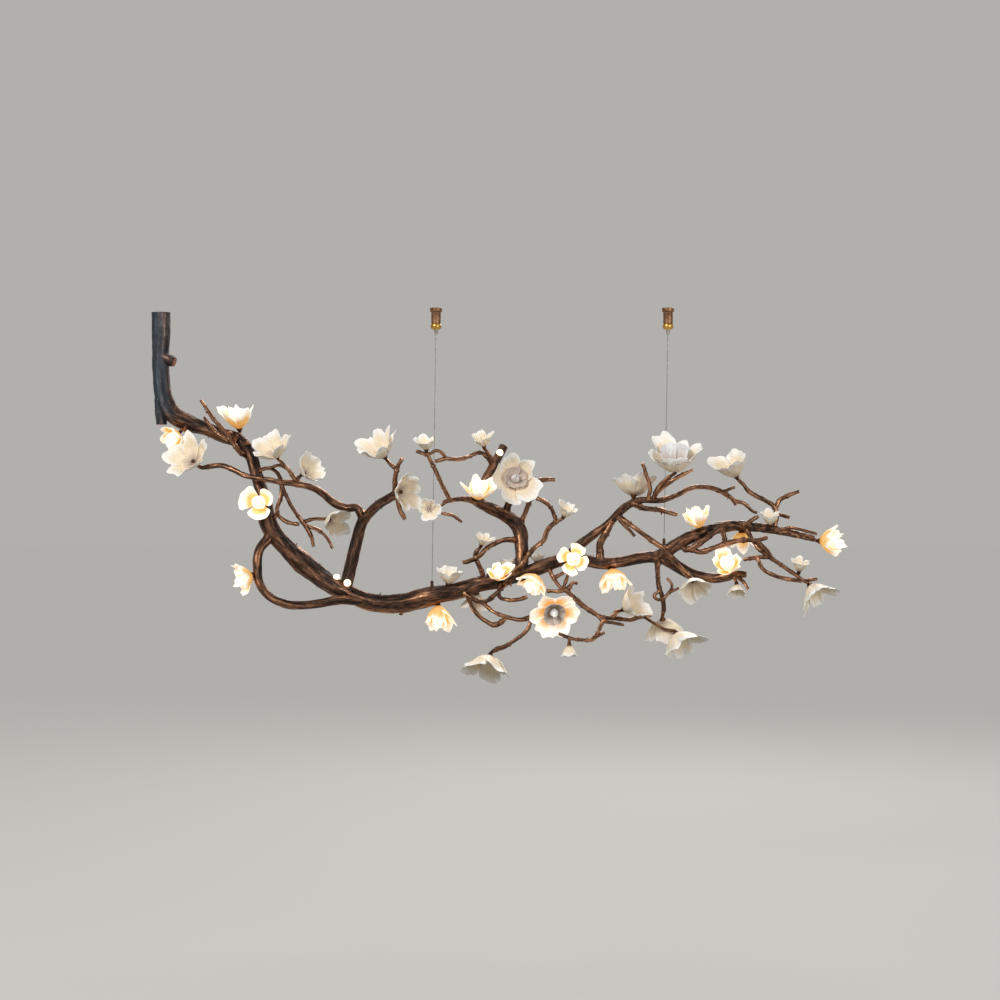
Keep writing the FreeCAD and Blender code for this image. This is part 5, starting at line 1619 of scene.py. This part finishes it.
@dataclass
class BlossomWork:
    """Moulds blossoms: petals, calyx cups, lamps, holders and heart buds."""

    mould: PetalMould = PetalMould()
    across: int = 14
    up: int = 13
    wall_mm: float = 1.3
    lap_mm: float = 1.5
    crumple_mm: float = 15.0
    large_mouth: float = 51.0

    def petal_shape(self, chance: random.Random, whorl: Whorl) -> PetalShape:
        """Chooses a petal's pinches.

        Args:
            chance: the blossom's own seeded chance.
            whorl: the ring of petals that it belongs to.

        Returns:
            The petal's shape.
        """
        return PetalShape(reach=chance.uniform(0.82, 1.06),
                          notch=whorl.notch * chance.uniform(0.8, 1.12),
                          point=whorl.tip * chance.uniform(0.8, 1.3),
                          spread=whorl.spread * chance.uniform(0.94, 1.08),
                          tilt=chance.uniform(-0.1, whorl.fall),
                          twist=chance.uniform(-0.2, 0.2),
                          ruffle=whorl.fray * chance.uniform(0.6, 1.5),
                          ragged=whorl.fray * chance.uniform(0.1, 0.3),
                          phase=chance.uniform(0, 60))

    def petal_point(self, blossom: Blossom, whorl: Whorl, shape: PetalShape, number: int,
                    u: float, s: float) -> Vector:
        """A point of a petal's middle skin.

        Args:
            blossom: the blossom.
            whorl: the ring of petals.
            shape: the petal's pinches.
            number: which petal it is.
            u: across the petal, from -1 to 1.
            s: from its claw, 0, to its lip, 1.

        Returns:
            The point in millimetres.
        """
        mould = self.mould
        along = blossom.along()
        side = sideways(along)
        other = along.cross(side)
        coarse, fine = (noise.noise(Vector((wave * u, shape.phase, row)))
                        for wave, row in zip(mould.tear_waves, mould.tear_rows))
        torn = shape.ragged * (coarse + mould.fine_tear * fine)
        lip = (1 - shape.notch * abs(u) ** shape.point + torn) * shape.reach
        t = s * lip
        is_shallow = blossom.depth < blossom.mouth * mould.shallow_depth
        rounding = mould.shallow_round if is_shallow else mould.deep_round
        opened = math.sin(min(1.0, t) * math.pi / 2) ** rounding
        curl = max(0.0, t - mould.curl_from) ** 2 * whorl.flare
        claw = whorl.floor * mould.claw
        radius = claw + (whorl.mouth - claw) * (opened + curl * mould.curl_out)
        height = whorl.depth * (t ** mould.rise - curl * mould.curl_down)
        radius += self.lap_mm * u * (1 - mould.lap_fade * s) + whorl.mouth * shape.tilt * t * t
        radius -= (whorl.mouth * mould.trough * u * u
                   * math.sin(math.pi * min(1.0, t)) ** mould.trough_power)
        radius *= 1 - whorl.shut * s * s
        broad, quick, upward = mould.frill_waves
        frill = whorl.mouth * mould.frill * shape.ruffle * s ** 3
        radius += frill * (math.sin(broad * u + shape.phase) + mould.fine_frill
                           * math.sin(quick * u + mould.fine_phase * shape.phase))
        height += frill * mould.frill_rise * math.cos(upward * u + shape.phase)
        half = math.pi / whorl.count * shape.spread * (1 - mould.narrowing * s * s)
        angle = 2 * math.pi * number / whorl.count + whorl.turn + u * half + shape.twist * t
        round_side = side * math.cos(angle) + other * math.sin(angle)
        spot = blossom.foot() + round_side * radius + along * height
        dent = noise.noise(spot / self.crumple_mm) * mould.dent_mm
        return spot + round_side * (dent * min(1.0, mould.dent_from * t))

    def whorls(self, name: str) -> list[Whorl]:
        """The rings of petals of a blossom; a lit one has an inner ring close to its lamp.

        Args:
            name: the blossom's name.

        Returns:
            Its rings, the outer one first.
        """
        blossom = BLOSSOMS[name]
        floor = SMALL_FLOOR_RADIUS if blossom.small else FLOOR_RADIUS
        mouth, depth = blossom.mouth, blossom.depth
        if name in PADDLES:
            return [Whorl(PADDLES[name], floor, mouth, depth * 0.9, turn=-0.5, notch=0.14,
                          tip=4.0, spread=0.92, reach=(0.2, 1.25), fall=0.0, fray=0.3),
                    Whorl(4, floor, mouth * 0.66, depth, turn=0.7, notch=0.12, tip=4.0,
                          flare=0.0, reach=(0.95, 1.1), spread=1.2, fall=0.0, fray=0.4,
                          shut=0.5)]
        if not blossom.lit:
            return [Whorl(blossom.petals, floor, mouth, depth,
                          fray=0.55 if blossom.small else 1.0)]
        if mouth > self.large_mouth:
            return [Whorl(blossom.petals, floor, mouth, depth, notch=0.44, flare=0.7,
                          reach=(0.42, 1.05))]
        return [Whorl(blossom.petals, floor, mouth, depth * 0.92, notch=0.44, flare=0.7),
                Whorl(3, floor, mouth * 0.56, depth, turn=0.6, notch=0.26, flare=0.1,
                      reach=(0.5, 1.1), spread=1.1, fall=0.05)]

    def heart_whorls(self, blossom: Blossom) -> list[Whorl]:
        """The inner bowl of a large blossom and the closed bud in it, greyed with painted shade.

        Args:
            blossom: the large blossom.

        Returns:
            The rings of petals; in a deep blossom the bowl is three broad pale petals.
        """
        floor, mouth, depth = CAP_RADIUS, blossom.mouth, blossom.depth
        if depth > mouth:
            return [Whorl(3, floor, mouth * 0.64, depth * 0.86, turn=-0.2, notch=0.2, tip=3.0,
                          flare=0.5, reach=(0.35, 1.0), fall=0.1)]
        return [Whorl(blossom.petals, floor, mouth * 0.54, depth * 0.6, notch=0.1, flare=0.3,
                      reach=(0.1, 0.62), spread=1.5, fall=0.0, fray=0.2),
                Whorl(3, floor, mouth * 0.3, depth * 0.84, notch=0.2, flare=0.0,
                      reach=(0.55, 1.0), fall=0.0, fray=0.4, shut=0.8),
                Whorl(3, floor * 0.7, mouth * 0.2, depth * 0.95, turn=1.0, notch=0.16,
                      flare=0.0, reach=(0.7, 1.0), fall=0.0, fray=0.3, shut=0.97)]

    def petals(self, shell: Shell, blossom: Blossom, whorls: list[Whorl], seed: int) -> None:
        """Adds a blossom's petals and its floor to a shell.

        Args:
            shell: the shell that gains them.
            blossom: the blossom.
            whorls: its rings of petals.
            seed: chooses its pinches.
        """
        chance = random.Random(seed)
        for whorl in whorls:
            for number in range(whorl.count):
                shape = self.petal_shape(chance, whorl)
                rows = [[self.petal_point(blossom, whorl, shape, number,
                                          2 * i / self.across - 1, j / self.up)
                         for i in range(self.across + 1)] for j in range(self.up + 1)]
                shell.grid(rows, closed=False, reach=whorl.reach)
        floor = whorls[0].floor
        along = blossom.along()
        rows = [ring(blossom.foot() + along * height, along, radius, 15)
                for radius, height in ((floor, 2.0), (floor * 0.8, 0.8), (0.3, 0.6))]
        shell.grid(rows, closed=True, reach=(0.02, 0.0))

    def walled(self, name: str, shell: Shell, finish: Material) -> Object:
        """Gives thin petals their wall and soft lips.

        Args:
            name: the piece's name.
            shell: the petals' middle skin.
            finish: the porcelain.

        Returns:
            The piece.
        """
        source = link_object(name + "_source", shell.mesh(name, weld=False))
        source.data.materials.append(finish)
        wall = source.modifiers.new("Wall", "SOLIDIFY")
        wall.thickness = self.wall_mm * MM
        wall.offset = 0
        soft = source.modifiers.new("Soft", "SUBSURF")
        soft.levels = soft.render_levels = 1
        return baked(source, name)

    def porcelain(self, name: str, members: list[str], finish: Material) -> Object:
        """Makes a piece of one or more blossoms.

        Args:
            name: the piece's name.
            members: the blossoms' names.
            finish: the porcelain.

        Returns:
            The piece.
        """
        shell = Shell()
        for member in members:
            self.petals(shell, BLOSSOMS[member], self.whorls(member), own_seed(member))
        return self.walled(name, shell, finish)

    def hearts(self, finish: Material) -> Object:
        """Makes the inner petals of the large blossoms, whose grey is painted shade.

        Args:
            finish: the porcelain.

        Returns:
            The piece.
        """
        shell = Shell()
        for name, blossom in BLOSSOMS.items():
            if blossom.mouth > self.large_mouth:
                self.petals(shell, blossom, self.heart_whorls(blossom), own_seed(name) + 1)
        return self.walled("inner_petals_painted_shade", shell, finish)

    def calyx_cups(self, finish: Material) -> Object:
        """Turns the bronzed cups under every blossom.

        Args:
            finish: their metal.

        Returns:
            The piece.
        """
        shell = Shell()
        for blossom in BLOSSOMS.values():
            radius = SMALL_CALYX_RADIUS if blossom.small else CALYX_RADIUS
            shell.turned(blossom.stem_end(), blossom.along(),
                         [(CALYX_STEM_RADIUS, -1), (CALYX_STEM_RADIUS + 0.5, 2),
                          (radius * 0.82, CALYX_HEIGHT * 0.5), (radius, CALYX_HEIGHT * 0.85),
                          (radius + 0.6, CALYX_HEIGHT + 0.8),
                          (radius - 0.6, CALYX_HEIGHT + 1.2)], 18)
        return shell.piece("calyx_cups_bronze", finish)

    def fittings(self, name: str, lit: bool, profile: Profile, sides: int,
                 finish: Material) -> Object:
        """Turns the same fitting in each lit blossom, or in each unlit one but the small.

        Args:
            name: the piece's name.
            lit: which blossoms hold it.
            profile: (radius, height over the floor's underside).
            sides: how many sides.
            finish: its material.

        Returns:
            The piece.
        """
        shell = Shell()
        for blossom in BLOSSOMS.values():
            if blossom.lit == lit and not blossom.small:
                shell.turned(blossom.foot(), blossom.along(), profile, sides)
        return shell.piece(name, finish)

    def beads(self, finish: Material) -> Object:
        """Turns the round frosted bead lamps on the branch.

        Args:
            finish: their glass.

        Returns:
            The piece.
        """
        shell = Shell()
        arc = [(BEAD_RADIUS * math.cos(a) + 0.05, BEAD_RADIUS * math.sin(a))
               for a in (-1.5, -1.1, -0.7, -0.35, 0.0, 0.35, 0.7, 1.1, 1.5)]
        for foot, facing in BEADS:
            along = Vector(facing).normalized()
            centre = swayed(*foot) + along * (BEAD_HEIGHT - BEAD_SINK - BEAD_RADIUS)
            shell.turned(centre, along, arc, 22)
        return shell.piece("bead_lamps_frosted", finish)

    def build(self, bronze: Material) -> None:
        """Makes every blossom and what it holds.

        Args:
            bronze: the finish of the calyx cups and the centre buttons.
        """
        # Lit copy of the porcelain: its amber base colour and glow paint the lamp's light through
        # the petals.
        lit = BisquePorcelain("lit_bisque_porcelain", claw="B4773A", blade="EBBE80",
                              lip="FFF8EC", glow=0.42).make()
        for name in (name for name, blossom in BLOSSOMS.items() if blossom.lit):
            settle(self.porcelain(f"{name}_lit_petals", [name], lit), Slot.PORCELAIN,
                   ["lit_blossom_" + name])
        plain = BisquePorcelain("bisque_porcelain").make()
        small = [name for name, blossom in BLOSSOMS.items() if blossom.small]
        for name, members in (*BLOSSOM_GROUPS.items(), ("small_blossoms", small)):
            settle(self.porcelain(name.replace("blossoms", "petals"), members, plain),
                   Slot.PORCELAIN, [name])
        steatite = MouldedMatter("pressed_steatite").make()
        lamp = GlowingLamp("silicone_over_warm_diodes").make()
        # Porcelain for the large blossoms' inner petals: its grey is painted shade deep in the
        # blossom.
        shaded_porcelain = BisquePorcelain("bisque_porcelain_painted_shade", claw="AF9B8F", blade="DACBC0",
                                  lip="F6F7F8").make()
        bead = GlowingLamp("frosted_glass_bead", colour="FFF1D0", strength=2.2).make()
        for piece, slot, nodes in (
                (self.calyx_cups(bronze), Slot.COPPER, ["calyx_cups"]),
                (self.fittings("lamp_holders_steatite", True, HOLDER_PROFILE, 20, steatite),
                 Slot.HOLDER, ["lamp_holders"]),
                (self.fittings("lamp_capsules_silicone", True, LAMP_PROFILE, 18, lamp),
                 Slot.LAMP, ["lamp_capsules"]),
                (self.hearts(shaded_porcelain), Slot.PORCELAIN, []),
                (self.fittings("centre_buttons_bronze", False, BUTTON_PROFILE, 16, bronze),
                 Slot.COPPER, ["centre_buttons"]),
                (self.beads(bead), Slot.BEAD, ["bead_lamps"])):
            settle(piece, slot, nodes)


# ---- Ceiling grippers and cables ----

@dataclass
class CeilingGripper:
    """A cable gripper: the cup on the ceiling, the body screwed into it and its nozzle.

    Heights are depths under the ceiling.
    """

    name: str
    x: float
    sides: int = 48
    screw_hole: float = 2.25
    floor: float = 4.0
    flange: float = 15.0
    flange_height: float = 10.0
    cup: float = 12.0
    cup_height: float = 40.0
    groove_top: float = 37.2
    bore: float = 9.0
    collar: float = 13.5
    collar_low: float = 54.0
    stem_top: float = 18.0
    roof: float = 21.0
    chamber: float = 5.6
    chamber_low: float = 33.0
    cone_low: float = 45.0
    plunger: float = 3.5
    recess_top: float = 50.0
    nozzle: float = 6.0
    nozzle_top: float = 53.2
    nozzle_rim: float = 56.2
    nozzle_low: float = 66.2
    nozzle_tip: float = 3.0
    cable_hole: float = 0.9
    running_gap: float = 0.05
    wire_steps: int = 24
    wire_sides: int = 10

    def closed(self, part: str, profile: Profile, finish: Material) -> Object:
        """Turns a closed profile about the gripper's axis.

        Args:
            part: the piece's own name.
            profile: (radius, depth under the ceiling) round the section.
            finish: its metal.

        Returns:
            The piece.
        """
        shell = Shell()
        section = [(radius, -depth) for radius, depth in profile + profile[:1]]
        shell.turned(Vector((self.x, 0, 0)), UPWARDS, section, self.sides)
        return shell.piece(f"{self.name}_{part}", finish, crisp=True)

    def spring(self, steel: Material) -> None:
        """Winds the return spring as it stands at rest; the real spring flattens against the roof
        as the jaws lift, but this piece does not move.

        Args:
            steel: the wire's metal.
        """
        wire = SPRING_WIRE / 2
        low, rise = wire - self.chamber_low, self.chamber_low - self.roof - SPRING_WIRE
        steps = SPRING_TURNS * self.wire_steps
        pitch = rise / (2 * math.pi * SPRING_TURNS)
        rows = []
        for k in range(steps + 1):
            angle = 2 * math.pi * k / self.wire_steps
            out, across = SPRING_RADIUS * math.cos(angle), SPRING_RADIUS * math.sin(angle)
            centre = Vector((self.x + out, across, low + rise * k / steps))
            rows.append(ring(centre, Vector((-across, out, pitch)).normalized(), wire,
                             self.wire_sides))
        shell = Shell()
        shell.tube(rows)
        coil = shell.piece(f"{self.name}_spring_wire", steel)
        settle(coil, Slot.STEEL, [f"{self.name}_return_spring"])
        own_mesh(coil)

    def profiles(self) -> tuple[Profile, Profile, Profile]:
        """Draws the sections of the flanged cup, of the hollow body and of the nozzle.

        Returns:
            (radius, depth under the ceiling) round each section.
        """
        cup, flange, rim = self.cup, self.flange, self.flange_height
        groove, mouth, hole = self.groove_top, self.cup_height, self.cable_hole
        pot = [(self.screw_hole, 0), (flange - 0.8, 0), (flange, 0.8), (flange, rim - 1.4),
               (flange - 0.4, rim - 0.5), (flange - 1.4, rim), (cup + 0.5, rim + 0.3),
               (cup, rim + 1.0), (cup, groove), (cup - 0.5, groove + 0.5),
               (cup - 0.5, groove + 1.1), (cup, groove + 1.6), (cup, mouth - 0.4),
               (cup - 0.4, mouth), (self.bore, mouth), (self.bore, self.floor),
               (self.screw_hole, self.floor)]
        stem, recess, guide = (radius + gap for radius, gap in (
            (self.bore, -self.running_gap), (self.nozzle, self.running_gap),
            (self.plunger, self.running_gap)))
        collar, low = self.collar, self.collar_low
        body = [(hole, self.stem_top), (stem, self.stem_top), (stem, mouth),
                (cup - 0.4, mouth), (cup + 0.5, mouth + 1.3), (collar - 0.3, mouth + 3.4),
                (collar, mouth + 5.6), (collar, low - 7.2), (collar - 0.5, low - 4.8),
                (collar - 1.6, low - 2.5), (collar - 3.2, low - 0.8), (collar - 5.0, low),
                (recess, low), (recess, self.recess_top), (guide, self.recess_top),
                (guide, self.cone_low), (self.chamber, self.chamber_low),
                (self.chamber, self.roof), (hole, self.roof)]
        nozzle, rim, tip, end = self.nozzle, self.nozzle_rim, self.nozzle_tip, self.nozzle_low
        cone = [(hole, self.cone_low), (self.plunger, self.cone_low),
                (self.plunger, self.nozzle_top), (nozzle, self.nozzle_top),
                (nozzle, rim - 0.6), (nozzle - 0.5, rim + 0.4), (tip + 0.6, end - 1.6),
                (tip, end - 0.5), (tip - 0.5, end), (hole, end)]
        return pot, body, cone

    def build(self, dark: Material, bright: Material, nickel: Material,
              steel: Material) -> None:
        """Makes the three visible pieces and the spring.

        Args:
            dark: the cup's dark bronze.
            bright: the body's polished brass.
            nickel: the nozzle's plating.
            steel: the spring's wire.
        """
        self.spring(steel)
        for profile, finish, part, node, body in zip(
                self.profiles(), (dark, bright, nickel), ("cup", "body", "nozzle"),
                ("ceiling_cup", "gripper_body", "release_plunger"),
                ("chandelier", "chandelier", f"{self.name}_release")):
            settle(self.closed(part + "_turned", profile, finish), Slot.BRASS,
                   [f"{self.name}_{node}"], body)


@dataclass
class StrandedCable:
    """A taut wire rope of six strands laid round a core, and its ferrule on the branch."""

    name: str
    x: float
    top: float = -14.0
    bend: float = -66.2
    bore_depth: float = 9.0
    ferrule: float = 4.0
    ferrule_bore: float = 1.3
    ferrule_sides: int = 32
    strands: int = 6
    strand: float = 0.28
    core: float = 1.1
    lay_radius: float = 0.52
    pitch: float = 11.0
    steps_per_turn: int = 8
    strand_sides: int = 4

    def path(self) -> list[Vector]:
        """Draws the cable's smooth line, from its tail in the gripper to its ferrule's bore.

        Returns:
            Points along it, in millimetres.
        """
        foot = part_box(f"{self.name}_cable_anchor")[1].z / MM - self.bore_depth
        route = [(self.x, self.top), (self.x, self.bend), (self.x - CABLE_LEAN, foot)]
        curve = bpy.data.curves.new(self.name + "_cable_route", "CURVE")
        curve.dimensions = "3D"
        curve.resolution_u = 24
        spline = curve.splines.new("NURBS")
        spline.points.add(len(route) - 1)
        for knot, (x, z) in zip(spline.points, route):
            knot.co = (*(Vector((x, 0, z)) * MM), 1.0)
        spline.order_u = 3
        spline.use_endpoint_u = True
        source = link_object(self.name + "_cable_source", curve)
        line = bpy.data.meshes.new_from_object(source)
        points = [corner.co / MM for corner in line.vertices]
        bpy.data.objects.remove(source)
        return points

    def stations(self, points: list[Vector]) -> list[tuple[Vector, Vector, float]]:
        """Even stations along the line.

        Args:
            points: the line.

        Returns:
            Place, direction and distance of each.
        """
        step = self.pitch / self.steps_per_turn
        found = []
        travelled = 0.0
        due = 0.0
        for start, end in zip(points, points[1:]):
            span = (end - start).length
            while due <= travelled + span and span > 0:
                found.append((start.lerp(end, (due - travelled) / span),
                              (end - start).normalized(), due))
                due += step
            travelled += span
        found.append((points[-1], (points[-1] - points[-2]).normalized(), travelled))
        return found

    def build(self, wire: Material, brass: Material) -> None:
        """Lays the strands along the cable's line and turns its ferrule.

        Args:
            wire: the bright steel.
            brass: the ferrule's metal.
        """
        points = self.path()
        stations = self.stations(points)
        shell = Shell()
        for strand in range(self.strands + 1):
            is_core = strand == self.strands
            reach = 0.0 if is_core else self.lay_radius
            girth = self.strand * self.core if is_core else self.strand
            rows = []
            for place, along, distance in stations:
                side = Vector((0, 1, 0)).cross(along).normalized()
                other = along.cross(side)
                turn = 2 * math.pi * (distance / self.pitch + strand / self.strands)
                centre = place + (side * math.cos(turn) + other * math.sin(turn)) * reach
                angles = [2 * math.pi * k / self.strand_sides + turn
                          for k in range(self.strand_sides)]
                rows.append([centre + (side * math.cos(angle) + other * math.sin(angle)) * girth
                             for angle in angles])
            shell.tube(rows)
        cable = shell.piece(f"{self.name}_cable_strands", wire)
        settle(cable, Slot.CABLE, [f"{self.name}_cable"])
        length = sum((b - a).length for a, b in zip(points, points[1:]))
        self.build_ferrule(brass)

    def build_ferrule(self, brass: Material) -> None:
        """Turns the ferrule that holds the cable's foot, with a ring where it is brazed.

        Args:
            brass: the ferrule's metal.
        """
        foot, top = (corner.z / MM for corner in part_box(f"{self.name}_cable_anchor"))
        wide, slim, bore = self.ferrule, self.ferrule - 0.5, self.ferrule_bore
        shell = Shell()
        shell.turned(Vector((self.x - CABLE_LEAN, 0, 0)), UPWARDS,
                     [(wide, foot), (wide, top - 6), (slim, top - 5.4), (slim, top - 4.6),
                      (wide, top - 4), (wide, top - 1.2), (wide - 1.1, top), (bore, top),
                      (bore, top - self.bore_depth)], self.ferrule_sides)
        settle(shell.piece(f"{self.name}_ferrule_turned", brass, crisp=True), Slot.COPPER,
               [f"{self.name}_cable_anchor"])


def dress_hidden(nodes: dict[str, Object], finishes: dict[str, Material]) -> None:
    """Gives the pieces inside the trunk and the grippers, which stay as packed, a finish.

    Args:
        nodes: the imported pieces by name.
        finishes: the finish of each piece by name.
    """
    for name, finish in finishes.items():
        mesh = nodes[name].data
        mesh.materials.clear()
        mesh.materials.append(finish)
        LOG.info("%s: dressed in %s", name, finish.name)


# ---- Studio ----

@dataclass
class Studio:
    """The pale floor, the soft lamps and the camera, in metres."""

    floor_level: float = -1.5
    floor_reach: float = 40.0
    camera_place: Point = (-0.13, -5.0, -0.48)
    lens: float = 72.0
    backdrop: str = "B2B0AC"
    glow: tuple[float, float] = (0.8, 1.0)
    lamps: tuple[tuple[str, Point, Point, float, float], ...] = (
        ("key", (-2.4, -3.0, 1.6), (-0.1, 0, -0.55), 98, 1.6),
        ("fill", (2.8, -3.4, 0.4), (0.1, 0, -0.6), 60, 2.2),
        ("rim", (0.6, 2.6, 1.5), (0, 0, -0.6), 75, 1.8))

    def set_lamps(self) -> None:
        """Adds the soft square lamps: name, place, aim, watts and side of each."""
        for name, place, aim, watts, size in self.lamps:
            data = bpy.data.lights.new(name, "AREA")
            data.energy = watts
            data.size = size
            lamp = link_object(name, data)
            lamp.location = place
            way = Vector(aim) - Vector(place)
            lamp.rotation_euler = way.to_track_quat("-Z", "Y").to_euler()

    def set_camera(self) -> None:
        """Looks level along +Y, so that 2.5 mm of the branch fill a thousandth of the frame."""
        data = bpy.data.cameras.new("camera")
        data.lens = self.lens
        data.sensor_width = 36
        data.clip_end = 100
        camera = link_object("camera", data)
        camera.location = self.camera_place
        camera.rotation_euler = (math.pi / 2, 0, 0)
        bpy.context.scene.camera = camera

    def set_world(self) -> None:
        """A soft world that the camera, gloss and glass see as the backdrop's pale grey."""
        world = bpy.data.worlds.new("studio")
        bpy.context.scene.world = world
        world.use_nodes = True
        tree = world.node_tree
        tree.nodes.clear()
        strength = mapped(tree, direct_ray(tree), 0.0, 1.0, *self.glow)
        light = add(tree, "ShaderNodeBackground", {"Color": linear(self.backdrop)},
                    {"Strength": strength})
        add(tree, "ShaderNodeOutputWorld", links={"Surface": light.outputs[0]})

    def build(self, paper: Material) -> None:
        """Lays the floor and sets the lamps.

        Args:
            paper: the floor's finish.
        """
        mesh = bpy.data.meshes.new("studio_floor")
        mesh.from_pydata([(x * self.floor_reach, y * self.floor_reach, self.floor_level)
                          for x, y in ((-1, -1), (1, -1), (1, 1), (-1, 1))],
                         [], [(0, 1, 2, 3)])
        mesh.materials.append(paper)
        floor = link_object("studio_floor", mesh)
        floor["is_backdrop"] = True
        self.set_lamps()
        self.set_world()
        bpy.context.scene.view_settings.view_transform = "Standard"


# ---- Assembly ----


def corners(bounds: tuple[Vector, Vector]) -> list[list[float]]:
    """The two corners of a box as plain lists."""
    return [list(corner) for corner in bounds]


def main() -> None:
    """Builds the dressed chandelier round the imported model."""
    logging.basicConfig(level=logging.INFO, format="%(name)s: %(message)s")
    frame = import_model()
    packed = corners(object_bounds())
    studio = Studio()
    studio.set_camera()
    metals = {name: WorkedMetal(name, colour, stain, roughness, line_mm).make()
              for name, colour, stain, roughness, line_mm in (
                  ("drawn_steel_wire", "A9AAA8", "6F7070", 0.34, 0.6),
                  ("patinated_ferrule", "6B4A30", "3A271A", 0.42, 0.5),
                  ("dark_bronzed_brass", "9A7458", "6E503B", 0.42, 0.5),
                  ("satin_brass", "D9AE5C", "B98839", 0.24, 0.5),
                  ("nickel_plated_brass", "C9C6BE", "9E9A90", 0.25, 0.5),
                  ("hardened_spring_steel", "8F9091", "5E5F60", 0.3, 0.5),
                  ("zinc_plated_steel", "B4B7B8", "8B8F92", 0.4, 0.5))}
    steel, bronze = metals["hardened_spring_steel"], metals["patinated_ferrule"]
    sides = (("left", -GRIPPER_SPACING / 2), ("right", GRIPPER_SPACING / 2))
    for name, x in sides:
        StrandedCable(name, x).build(metals["drawn_steel_wire"], bronze)
    bark = PatinatedCopper("liver_patinated_copper").make()
    Branch().build(BarkSweep(bark, SawnCopper("sawn_copper").make()))
    BlossomWork().build(bronze)
    for name, x in sides:
        CeilingGripper(name, x).build(metals["dark_bronzed_brass"], metals["satin_brass"],
                                      metals["nickel_plated_brass"], steel)
    dress_hidden(frame["nodes"], {
        "ceiling_plate": metals["zinc_plated_steel"],
        "trunk_grub_screws": steel,
        "terminal_block": MouldedMatter("moulded_nylon", "D8D7D0", "C4C2B9").make(),
        "led_driver": MouldedMatter("moulded_black_abs", "202124", "151618").make(),
        "left_clamp_jaws": steel,
        "right_clamp_jaws": steel,
    })
    studio.build(StudioPaper("seamless_paper").make())
    {"cad": packed, "visual": corners(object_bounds())}


if __name__ == "__main__":
    main()
